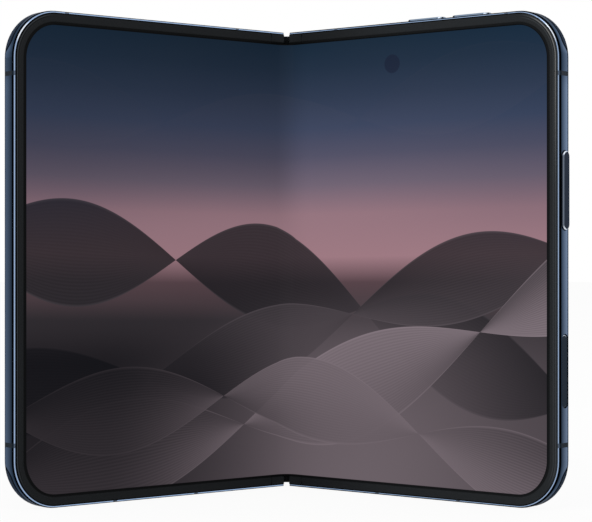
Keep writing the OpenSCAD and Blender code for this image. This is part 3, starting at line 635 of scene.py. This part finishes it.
def key_finish(name):
    """Dark glass of the camera key, with a painted highlight arc round its upper end and a fine one round
    the lower.
    """
    look = Look(name)
    at = HalfPlace(look, RIGHT)
    haze = look.noise(30, 2.0)
    above = (at.height - sizes.key_z) / (sizes.key_l / 2)
    # Painted highlights: the arcs round the key's ends are painted bright and metallic
    arc = look.spread(at.from_button(sizes.key_z, sizes.key_l), -0.34 * MM, -0.16 * MM)
    arc = arc * (look.spread(above, 0.90, 0.97) + look.spread(above, -0.97, -0.90, 0.14, 0.0))
    base = look.mix((0.0108, 0.0192, 0.0310), (0.0130, 0.0222, 0.0360), haze)
    return look.skin(look.mix(base, (0.58, 0.65, 0.74), arc), haze, (0.10, 0.14), Metallic=arc, IOR=1.08)


def gloss_glass(name, tint, roughness, ior):
    """Opaque glass with a clear gloss over its colour."""
    look = Look(name)
    haze = look.noise(30, 2.0)
    base = look.mottled(tint, 0.9, 1.1, haze)
    return look.skin(base, haze, (roughness, roughness + 0.03), IOR=ior)


def satin_glass(name, tint):
    """Etched glass with a slight sparkle in its depth."""
    look = Look(name)
    sparkle = look.add("ShaderNodeTexVoronoi", None, Vector=look.place(), Scale=5200.0)
    glint = look.fade(sparkle, 0.04, 0.16)
    cloud = look.noise(24, 2.0)
    base = look.mottled(tint, 0.92, 1.08, cloud)
    base = look.mix(base, tinted(tint, 1.7), glint * 0.35)
    grain = look.noise(7000, 2.0)
    return look.skin(base, grain, (0.30, 0.38), (0.05, 0.00001), Metallic=0.35, Coat_Weight=0.25,
                     Coat_Roughness=0.2)


def rings_from(look, centre, normal):
    """Distance of a point from an axis, in metres."""
    offset = look.add("ShaderNodeVectorMath", {"operation": "SUBTRACT"}, look.place(), centre)
    turned = look.add("ShaderNodeVectorMath", {"operation": "CROSS_PRODUCT"}, offset, normal)
    return look.add("ShaderNodeVectorMath", {"operation": "LENGTH"}, turned, outlet=1)


def lens_centre(index, depth=None):
    """Centre of a rear lens's face, or of the same lens at another depth."""
    return on_half(RIGHT, sizes.lens_u + index * sizes.lens_spacing, depth or sizes.lens_y, sizes.lens_z)


def from_lens(look):
    """Distance of a point from the nearer lens's axis, in metres."""
    first, second = (rings_from(look, lens_centre(index), backward(RIGHT)) for index in range(2))
    return first.math("MINIMUM", second)


def cover_finish(name):
    """Black glass of the outer screen, with its camera's window showing faintly."""
    look = Look(name)
    centre = on_half(LEFT, (sizes.fold_u + sizes.half_w) / 2, sizes.half_t, sizes.cover_camera_z)
    radius = rings_from(look, centre, backward(LEFT))
    window = look.fade(radius, sizes.cover_camera_d / 2 - 0.05 * MM, sizes.cover_camera_d / 2)
    ring = window - look.fade(radius, sizes.cover_camera_d * 0.34, sizes.cover_camera_d * 0.36)
    pupil = look.fade(radius, 0.3 * MM, 0.75 * MM)
    haze = look.noise(26, 2.0)
    base = look.mix((0.0065, 0.007, 0.0085), (0.0085, 0.0092, 0.0115), haze)
    base = look.mix(base, (0.0015, 0.0015, 0.002), window)
    base = look.mix(base, (0.020, 0.022, 0.030), ring * 0.8)
    base = look.mix(base, (0.012, 0.010, 0.045), pupil)
    return look.skin(base, haze, (0.04, 0.07), IOR=1.28)


# ---- finishes: the lit screen

# Each ribbon of the picture: height of its middle at the left, rise to the right, swing, waves, phase,
# half width, twists, where they start, how light it is and how much of what lies behind it covers
RIBBONS = (
    (0.800, 0.060, 0.050, 0.70, 2.6, 0.085, 2.60, 1.00, 0.90, 0.022),
    (0.560, -0.300, 0.045, 0.80, 5.4, 0.110, 2.70, 0.75, 0.05, 0.93),
    (0.250, 0.200, 0.050, 0.75, 3.4, 0.090, 2.50, 1.30, 0.16, 0.92),
    (0.020, 0.400, 0.055, 0.70, 2.2, 0.110, 2.20, 0.30, 1.00, 0.93),
    (0.230, -0.150, 0.050, 0.85, 5.0, 0.090, 2.60, 0.10, 0.75, 0.90),
)
# Tone that the sky takes towards its two ends, and the darkest shade laid over the picture
SKY_ENDS = (0.0, 0.022, 0.055)
PICTURE_SHADE = (0.002, 0.0025, 0.004)


def picture(look, across, up):
    """Twisted ribbons of fine lines over a haze of dusk colours. across and up run from 0 to 1."""
    tilt = up + (across * 3.4 + 0.4).math("SINE") * 0.010 + across * 0.012 + 0.016
    tone = look.add("ShaderNodeValToRGB", {"stops": (
        (0.00, mixed(colours.coal, colours.mauve, 0.46)),
        (0.30, mixed(colours.coal, colours.mauve, 0.34)),
        (0.40, mixed(colours.coal, colours.mauve, 0.16)),
        (0.48, mixed(colours.coal, colours.glow, 0.25)),
        (0.535, colours.glow),
        (0.628, mixed(colours.glow, colours.violet, 0.22)),
        (0.692, colours.violet),
        (0.755, mixed(colours.violet, colours.dusk, 0.66)),
        (0.815, colours.dusk),
        (0.880, mixed(colours.dusk, colours.night, 0.48)),
        (0.945, mixed(colours.dusk, colours.night, 0.82)),
        (1.00, colours.night),
    )}, tilt)
    for middle, rise, swing, waves, phase, half_w, twists, start, light, cover in RIBBONS:
        centre = across * rise + (across * (waves * 2 * math.pi) + phase).math("SINE") * swing + middle
        over = (up - centre) / ((across * (twists * math.pi) + start).math("SINE") * half_w)
        off = abs(over)
        edge_tone = mixed(colours.coal, colours.mauve, light)
        far_tone = mixed(colours.coal, colours.mauve, light * 0.35)
        ribbon = look.mix(edge_tone, far_tone, look.spread(over, -1.0, 1.0))
        lines = (over * 95.0).wave() * look.spread(over, -1.0, 1.0, 0.45, 0.14)
        ribbon = look.mix(ribbon, tinted(edge_tone, 1.5), lines)
        hem_tone = mixed(tinted(edge_tone, 2.0), colours.mauve, 0.25)
        ribbon = look.mix(ribbon, hem_tone, look.spread(off, 0.93, 1.0, 0.0, 0.5))
        tone = look.mix(tone, ribbon, look.spread(off, 0.985, 1.0, cover, 0.0))
    ends = look.spread(abs(across - 0.5), 0.1, 0.5, 0.0, 0.2) * look.spread(up, 0.5, 0.65)
    tone = look.mix(tone, SKY_ENDS, ends)
    low = look.fade(up, 0.28, 0.46)
    sheen = look.fade(abs(across - 0.66), 0.0, 0.36)
    tone = look.mix(tone, colours.mauve, sheen * look.spread(up, 0.08, 0.32, 0.64, 0.40) * low)
    shade = look.spread(across, 0.15, 0.58, 0.85, 0.05) * low
    # Painted shade: the upper picture on the left half darker than on the right
    left = look.fade(across, 0.47, 0.555) * look.spread(up, 0.56, 0.70, 0.12, 0.33)
    return look.mix(tone, PICTURE_SHADE, shade | left)


def mixed(first, second, share):
    return tuple(a + (b - a) * share for a, b in zip(first, second))


def screen_skin(look, tone, lit):
    """The screen's own surface: a soft gloss over a lit picture and its dark margin."""
    film = look.noise(900, 2.0)
    tone = look.mix(tinted(colours.bezel, 0.3), tone, lit)
    return look.skin((0.001, 0.001, 0.0015), film, (0.16, 0.20), IOR=1.07, Emission_Color=tone,
                     Emission_Strength=1.0)


def lit_share(look, inset, up, beside):
    """1 on the lit area and 0 on the dark margin round it, which is widest beside the side walls."""
    ends = look.spread(up, 0.4, 0.6, 0.1 * sizes.unlit, sizes.unlit)
    start = ends * (1.0 - beside) + beside * (2.0 * sizes.unlit) + sizes.screen_inset
    return look.spread(inset - start, -0.03 * MM, 0.03 * MM)


def flat_screen(name, side):
    """The lit screen on one half, with the camera's window on the right half."""
    look = Look(name)
    at = HalfPlace(look, side)
    tone = picture(look, at.out * (side / (2 * sizes.half_w)) + 0.5, at.height / BODY_H)
    if side == RIGHT:
        du = at.out - sizes.inner_camera_u
        dz = at.height - sizes.inner_camera_z
        radius = (du * du + dz * dz).math("SQRT")
        r = sizes.inner_camera_d / 2
        window = look.spread(radius, r - 0.25 * MM, r, 0.55, 0.0)
        tone = look.mix(tone, (0.010, 0.012, 0.030), window)
    lit = lit_share(look, at.inset, at.height / BODY_H, look.fade(at.turn, 0.3, 0.8))
    return screen_skin(look, tone, lit)


def folding_screen(name):
    """The lit screen on the folding part, laid along the piece's own unrolled map."""
    look = Look(name)
    unrolled = look.add("ShaderNodeUVMap", {"uv_map": "Unrolled"})
    across = look.dot(unrolled, (1.0, 0.0, 0.0))
    up = look.dot(unrolled, (0.0, 1.0, 0.0))
    inset = (0.5 - abs(up - 0.5)) * BODY_H
    return screen_skin(look, picture(look, across, up), lit_share(look, inset, up, 0.0))


# ---- finishes: inside


def board_finish(name):
    """Lacquered board with fine copper tracks under the lacquer."""
    look = Look(name)
    tracks = look.add("ShaderNodeTexVoronoi", {"distance": "MANHATTAN", "feature": "F1"},
                      Vector=look.place(), Scale=420.0)
    base = look.mix((0.010, 0.045, 0.034), (0.030, 0.095, 0.060), look.fade(tracks, 0.30, 0.36))
    return look.skin(base, Roughness=look.spread(tracks, 0, 1, 0.28, 0.42), Coat_Weight=0.4)


def coil_finish(name, centre, normal):
    """Flat winding of fine copper wire."""
    look = Look(name)
    turns = (rings_from(look, centre, normal) * 9000.0).wave()
    base = look.mix((0.24, 0.09, 0.035), (0.62, 0.28, 0.12), turns)
    return look.skin(base, Metallic=0.9, Roughness=look.spread(turns, 0, 1, 0.5, 0.3),
                     Normal=look.bump(turns, 0.3, 0.00003))


def foil_finish(name):
    """Black foil round the cells, slightly creased."""
    look = Look(name)
    crease = look.noise(130, 5.0)
    base = look.mix((0.012, 0.013, 0.015), (0.024, 0.026, 0.030), crease)
    return look.skin(base, crease, (0.35, 0.5), (0.25, 0.0001))


def mesh_finish(name):
    """Woven acoustic mesh behind the sound holes."""
    look = Look(name)
    where = look.place()
    warp = (look.dot(where, tuple(outward(RIGHT))) * 42000.0).math("SINE")
    weft = (look.dot(where, (0.0, 1.0, 0.0)) * 42000.0).math("SINE")
    weave = (warp * weft) * 0.5 + 0.5
    base = look.mix((0.006, 0.006, 0.007), (0.06, 0.062, 0.068), weave)
    return look.skin(base, Metallic=0.6, Roughness=look.spread(weave, 0, 1, 0.6, 0.4),
                     Normal=look.bump(weave, 0.4, 0.00003))


def flash_finish(name):
    """Ribbed yellow-white lens of the lamp."""
    look = Look(name)
    ribs = (look.dot(look.place(), (0.0, 0.0, 1.0)) * 16000.0).wave()
    base = look.mix((0.62, 0.55, 0.33), (0.86, 0.83, 0.70), ribs)
    return look.skin(base, Roughness=look.spread(ribs, 0, 1, 0.30, 0.18), Coat_Weight=1.0,
                     Normal=look.bump(ribs, 0.25, 0.00004))


def coated_lens(name):
    """Dark lens glass whose coating turns from violet to green outwards."""
    look = Look(name)
    radius = from_lens(look) / (sizes.lens_d / 2)
    base = look.add("ShaderNodeValToRGB", {"stops": (
        (0.00, (0.004, 0.004, 0.010)),
        (0.16, (0.018, 0.012, 0.050)),
        (0.30, (0.010, 0.022, 0.030)),
        (0.42, (0.004, 0.005, 0.008)),
        (1.00, (0.006, 0.007, 0.009)),
    )}, radius)
    return look.skin(base, Roughness=look.spread(radius, 0.0, 1.0, 0.03, 0.10), IOR=1.45)


def give(material, *nodes):
    """Puts a finish on CAD nodes."""
    for node in nodes:
        slots = frame["nodes"][node].data.materials
        slots.clear()
        slots.append(material)


# ---- pieces


def fold_screen(side, material):
    """One side of the screen's folding part: a strip turned round the bend and run on to the half's own."""
    centre, bend_u = bend_centre()
    strip = BODY_H - 2 * sizes.screen_inset
    start_clean()
    bpy.ops.mesh.primitive_plane_add(
        size=1.0, location=(0, centre.y + sizes.bend_r + sizes.screen_t / 2, BODY_H / 2),
        rotation=(0, math.pi / 2, 0))
    piece = bpy.context.object
    piece.scale = (strip, sizes.screen_t, 1)
    settle()
    edit_all()
    bpy.ops.mesh.spin(steps=16, angle=FOLD * side, center=centre, axis=(0, 0, 1))
    for stretch in (0.25, 0.25, 0.5):
        bpy.ops.mesh.extrude_region_move(
            TRANSFORM_OT_translate={"value": outward(side) * (sizes.fold_u - bend_u) * stretch})
    bpy.ops.mesh.select_all(action="SELECT")
    bpy.ops.mesh.remove_doubles(threshold=TINY)
    bpy.ops.mesh.normals_make_consistent(inside=False)
    piece = finish_piece(f"screen_fold_{SIDE_NAMES[side]}", material, None)
    unroll(piece, side, centre, bend_u)
    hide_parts("screen_fold")
    start = Vector((0, centre.y + sizes.bend_r, BODY_H / 2))
    end = on_half(side, bend_u, sizes.screen_depth, BODY_H / 2)
    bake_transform(piece)


def unroll(piece, side, centre, bend_u):
    """Maps the folding part to its place on the open screen, from 0 to 1 each way."""
    axis = Vector((side * AXIS_X, AXIS_Y, 0))
    layer = piece.data.uv_layers.new(name="Unrolled")
    for loop in piece.data.loops:
        at = piece.data.vertices[loop.vertex_index].co
        turn = math.atan2(side * at.x, at.y - centre.y)
        out = turn / FOLD * bend_u
        if turn > FOLD - 1e-4:
            out = AXIS_X + (at - axis).dot(outward(side))
        layer.data[loop.index].uv = (0.5 + side * out / (2 * sizes.half_w), at.z / BODY_H)


# Width and drop in millimetres of each step in a lens's black baffle, from its rim inwards
BAFFLE_STEPS = ((0.10, 0.0), (0.75, 0.0), (0.08, 0.12), (0.55, 0.0), (0.08, 0.10), (0.50, 0.0), (0.06, 0.08))


def lens_fronts(material):
    """Glass fronts of the rear lenses: stepped black baffles round a domed front element."""
    normal = backward(RIGHT)
    start_clean()
    bpy.ops.mesh.primitive_circle_add(
        vertices=72, radius=sizes.lens_d / 2, fill_type="NGON", rotation=facing_back(RIGHT),
        location=lens_centre(0, sizes.lens_y - sizes.lens_t))
    edit_all()
    bpy.ops.mesh.extrude_region_move(TRANSFORM_OT_translate={"value": normal * sizes.lens_t})
    for width, drop in BAFFLE_STEPS:
        bpy.ops.mesh.inset(thickness=width * MM)
        if drop:
            bpy.ops.transform.translate(value=normal * (-drop * MM))
    dome_r = sizes.lens_d / 2 - sum(width for width, _ in BAFFLE_STEPS) * MM
    rings, dome_h = 7, 0.055 * MM
    for ring in range(rings):
        bpy.ops.mesh.inset(thickness=dome_r / (rings + 1))
        bpy.ops.transform.translate(value=normal * (math.cos(ring / rings * math.pi / 2) * dome_h))
    bpy.ops.mesh.select_all(action="SELECT")
    bpy.ops.mesh.normals_make_consistent(inside=False)
    bpy.ops.object.mode_set(mode="OBJECT")
    first = bpy.context.object
    second = copied(first, outward(RIGHT) * sizes.lens_spacing)
    for number, front in enumerate((first, second), 1):
        pick(front)
        finish_piece(f"lens_front_{number}", material, "right_half", 25)
        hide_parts("lens_glasses")


def speaker_meshes(material):
    """Rows of discs of acoustic mesh, set back in the sound holes of both halves."""
    disc_z, disc_t, disc_r = 0.9 * MM, 0.1 * MM, sizes.speaker_d / 2 + 0.02 * MM
    for side in (RIGHT, LEFT):
        half = SIDE_NAMES[side]
        start_clean()
        bpy.ops.mesh.primitive_cylinder_add(
            vertices=28, radius=disc_r, depth=disc_t, rotation=facing_down(side),
            location=on_half(side, sizes.speaker_u, sizes.edge_hole_y, disc_z))
        settle()
        row_of(bpy.context.object, SPEAKER_HOLES, outward(side) * sizes.speaker_pitch)
        finish_piece(f"speaker_mesh_{half}", material, f"{half}_half")


def port_contacts(material):
    """Gold contact strips on both faces of the charging port's tongue."""
    pitch, count, tongue_t, strip_z = 0.5 * MM, 12, 0.7 * MM, 2.9 * MM
    strip = (0.26 * MM, 0.05 * MM, 3.4 * MM)
    lift = tongue_t / 2 + 0.02 * MM
    start_clean()
    at = on_half(RIGHT, sizes.port_u - (count - 1) / 2 * pitch, sizes.edge_hole_y - lift, strip_z)
    bpy.ops.mesh.primitive_cube_add(size=1.0, location=at, rotation=(0, 0, -FOLD), scale=strip)
    settle()
    edit_all()
    bpy.ops.mesh.bevel(offset=0.02 * MM, segments=1)
    bpy.ops.object.mode_set(mode="OBJECT")
    front = row_of(bpy.context.object, count, outward(RIGHT) * pitch)
    row_of(front, 2, backward(RIGHT) * (2 * lift))
    finish_piece("port_contacts", material, "right_half")


# ---- operators


class PHONE_OT_frame(bpy.types.Operator):
    """Finish the metal frames, their plastic breaks and the hinge spine"""
    bl_idname = "phone.frame"
    bl_label = "Frame and spine"

    def execute(self, context):
        for side, name in SIDE_NAMES.items():
            give(frame_metal(f"Frame metal {name}", side), f"{name}_frame")
            give(antenna_plastic(f"Antenna plastic {name}", side), f"{name}_antenna_bands")
        give(spine_metal("Spine metal"), "spine_cover")
        give(moulded("Spine plugs", (0.0090, 0.0108, 0.0124), 1.12), "spine_end_plugs")
        return {"FINISHED"}


class PHONE_OT_screen(bpy.types.Operator):
    """Finish the lit screen and model its folding part"""
    bl_idname = "phone.screen"
    bl_label = "Screen and fold"

    def execute(self, context):
        folding = folding_screen("Folding screen")
        for side, name in SIDE_NAMES.items():
            give(flat_screen(f"Screen {name}", side), f"{name}_screen")
            fold_screen(side, folding)
        return {"FINISHED"}


class PHONE_OT_bezel(bpy.types.Operator):
    """Finish the bezel and the caps over the ends of the fold"""
    bl_idname = "phone.bezel"
    bl_label = "Bezel"

    def execute(self, context):
        for side, name in SIDE_NAMES.items():
            give(bezel_plastic(f"Bezel {name}", side), f"{name}_bezel", f"{name}_fold_caps")
        return {"FINISHED"}


class PHONE_OT_buttons(bpy.types.Operator):
    """Finish the buttons and the camera key"""
    bl_idname = "phone.buttons"
    bl_label = "Buttons"

    def execute(self, context):
        give(button_ring("Button ring"), "power_button")
        give(volume_metal("Volume up metal", sizes.volume_up_u), "volume_up_button")
        give(volume_metal("Volume down metal", sizes.volume_down_u), "volume_down_button")
        give(gloss_glass("Button glass", (0.0130, 0.0212, 0.0390), 0.08, 1.07), "power_button_glass")
        give(key_finish("Camera key"), "camera_key")
        return {"FINISHED"}


class PHONE_OT_backs(bpy.types.Operator):
    """Finish the back and cover glass and model the rear lenses"""
    bl_idname = "phone.backs"
    bl_label = "Backs and cameras"

    def execute(self, context):
        give(satin_glass("Back glass", colours.glass), "back_glass")
        give(satin_glass("Plateau glass", tinted(colours.glass, 0.85)), "camera_plateau")
        give(cover_finish("Cover glass"), "cover_glass")
        lens_fronts(coated_lens("Lens glass"))
        give(turned_metal("Lens rings", (0.19, 0.25, 0.35)), "lens_rings")
        give(flash_finish("Lamp lens"), "flash_lens")
        return {"FINISHED"}


class PHONE_OT_edge_parts(bpy.types.Operator):
    """Model the sound meshes and the port's contacts"""
    bl_idname = "phone.edge_parts"
    bl_label = "Port and speakers"

    def execute(self, context):
        speaker_meshes(mesh_finish("Sound mesh"))
        port_contacts(polished_metal("Contact gold", (0.75, 0.52, 0.20), 0.2))
        give(polished_metal("Port steel", (0.42, 0.44, 0.47), 0.25), "port_shell")
        give(moulded("Port tongue", (0.012, 0.012, 0.014)), "port_tongue")
        return {"FINISHED"}


class PHONE_OT_inside(bpy.types.Operator):
    """Finish the hinge mechanism and what the halves hold"""
    bl_idname = "phone.inside"
    bl_label = "Inside"

    def execute(self, context):
        steel = brushed_metal("Hinge steel", (0.42, 0.43, 0.45))
        plate = brushed_metal("Plate steel", (0.36, 0.37, 0.39), (1.0, 30.0, 1.0))
        bronze = polished_metal("Bronze", (0.50, 0.36, 0.18), 0.3)
        foil = foil_finish("Cell foil")
        black = moulded("Black plastic", (0.012, 0.012, 0.014))
        nickel = polished_metal("Nickel", (0.55, 0.55, 0.56), 0.22)
        give(steel, "hinge_bases", "friction_plates")
        give(polished_metal("Screw steel", (0.40, 0.41, 0.44), 0.2), "hinge_base_screws")
        give(bronze, "left_idler_gears", "right_idler_gears")
        for name in SIDE_NAMES.values():
            give(plate, f"{name}_screen_plate", f"{name}_wing_plate")
            give(steel, f"{name}_hinge_arms", f"{name}_gear_shafts", f"{name}_arm_screws")
            give(bronze, f"{name}_friction_discs")
            give(foil, f"{name}_battery")
            give(nickel, f"{name}_magnets")
            give(black, f"{name}_speaker")
        give(nickel, "board_shields", "button_switches", "vibration_motor")
        give(black, "cover_camera", "inner_camera", "rear_camera_modules")
        give(foil, "cover_screen")
        give(board_finish("Board lacquer"), "main_board")
        low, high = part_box("charging_coil")
        give(coil_finish("Copper winding", (low + high) / 2, backward(RIGHT)), "charging_coil")
        return {"FINISHED"}


class PHONE_OT_stage(bpy.types.Operator):
    """Set up the floor, the soft studio light and the camera"""
    bl_idname = "phone.stage"
    bl_label = "Stage"

    def execute(self, context):
        start_clean()
        bpy.ops.mesh.primitive_plane_add(size=9.0, location=(0, 0, 0))
        floor = context.object
        floor.name = "floor"
        floor.data.materials.append(floor_finish("Floor"))
        world_light(context.scene)
        for at, size, energy in SOFT_BOXES:
            soft_box(Vector(at), size, energy)
        aim_camera(context.scene)
        context.scene.view_settings.view_transform = "Standard"
        return {"FINISHED"}


# ---- stage

# Place, size and strength of each soft box, aimed at the phone's middle
SOFT_BOXES = (
    ((-0.9, -0.9, 1.1), 0.9, 6.0),
    ((0.9, -0.8, 1.0), 0.9, 4.0),
    ((1.3, 0.5, 0.35), 1.3, 3.5),
    ((-1.3, 0.3, 0.5), 0.5, 1.0),
)
WORLD_STRENGTH = 0.62
# The view in pixels: its size, where the fold line's middle lies in it, and its focal length
IMAGE_W, IMAGE_H = 592, 522
AXIS_AT = (286.6, 259.3)
FOCAL_PX = 1863.9
CAMERA_DISTANCE = 495.6 * MM
FRONT_APEX_DEPTH = 1.14 * MM


def seen_directly(look, lit, shown, share):
    """Mixes in what camera, glossy and transmitted rays see."""
    camera, glossy, through = (look.add("ShaderNodeLightPath", outlet=f"Is {kind} Ray")
                               for kind in ("Camera", "Glossy", "Transmission"))
    return look.add("ShaderNodeMixShader", None, (camera | glossy | through) * share, lit, shown)


def floor_finish(name):
    """Pale floor that keeps the phone's shadow."""
    look = Look(name)
    paint = look.mix((0.92, 0.92, 0.92), (0.94, 0.94, 0.94), look.noise(60, 2.0))
    lit = look.add("ShaderNodeBsdfDiffuse", None, Color=paint)
    white = look.add("ShaderNodeEmission", None, Color=(1.0, 1.0, 1.0), Strength=1.0)
    return look.close(seen_directly(look, lit, white, 0.93))


def world_light(scene):
    """Even studio light, shown white."""
    scene.world = scene.world or bpy.data.worlds.new("Studio")
    look = Look("Studio", scene.world)
    lit, white = (look.add("ShaderNodeBackground", None, Color=(1.0, 1.0, 1.0), Strength=strength)
                  for strength in (WORLD_STRENGTH, 1.0))
    look.close(seen_directly(look, lit, white, 1.0), "ShaderNodeOutputWorld")


def soft_box(at, size, energy):
    aim = Vector((0, 0, BODY_H / 2)) - at
    bpy.ops.object.light_add(type="AREA", location=at, rotation=aim.to_track_quat("-Z", "Y").to_euler())
    lamp = bpy.context.object.data
    lamp.size = size
    lamp.energy = energy


def aim_camera(scene):
    """Square on to the fold line, at half the phone's height."""
    apex_y = AXIS_Y - sizes.axis_depth + FRONT_APEX_DEPTH
    bpy.ops.object.camera_add(
        location=(0, apex_y - CAMERA_DISTANCE, BODY_H / 2), rotation=(math.pi / 2, 0, 0))
    camera = bpy.context.object
    lens = camera.data
    lens.sensor_width = 36.0
    lens.lens = FOCAL_PX / IMAGE_W * lens.sensor_width
    lens.shift_x = (IMAGE_W / 2 - AXIS_AT[0]) / IMAGE_W
    lens.shift_y = (AXIS_AT[1] - IMAGE_H / 2) / IMAGE_W
    lens.clip_start, lens.clip_end = 0.01, 50.0
    scene.camera = camera


class PHONE_PT_panel(bpy.types.Panel):
    """Lists the phone's pieces and its sizes and colours"""
    bl_idname = "PHONE_PT_panel"
    bl_label = "Folding phone"
    bl_space_type = "VIEW_3D"
    bl_region_type = "UI"
    bl_category = "Phone"

    def draw(self, context):
        for operator in OPERATORS:
            self.layout.operator(operator.bl_idname)
        for group in (context.scene.phone_sizes, context.scene.phone_colours):
            for key in group.bl_rna.properties.keys():
                if key not in ("name", "rna_type"):
                    self.layout.prop(group, key)


OPERATORS = (PHONE_OT_stage, PHONE_OT_frame, PHONE_OT_screen, PHONE_OT_bezel, PHONE_OT_buttons,
             PHONE_OT_backs, PHONE_OT_edge_parts, PHONE_OT_inside)
CLASSES = (PhoneSizes, PhoneColours, *OPERATORS, PHONE_PT_panel)


def register():
    for made in CLASSES:
        bpy.utils.register_class(made)
    bpy.types.Scene.phone_sizes = bpy.props.PointerProperty(type=PhoneSizes)
    bpy.types.Scene.phone_colours = bpy.props.PointerProperty(type=PhoneColours)


def unregister():
    del bpy.types.Scene.phone_colours
    del bpy.types.Scene.phone_sizes
    for made in reversed(CLASSES):
        bpy.utils.unregister_class(made)


def main():
    register()
    bpy.ops.phone.stage()
    bpy.ops.phone.frame()
    bpy.ops.phone.screen()
    bpy.ops.phone.bezel()
    bpy.ops.phone.buttons()
    bpy.ops.phone.backs()
    bpy.ops.phone.edge_parts()
    bpy.ops.phone.inside()


if __name__ == "__main__":
    main()
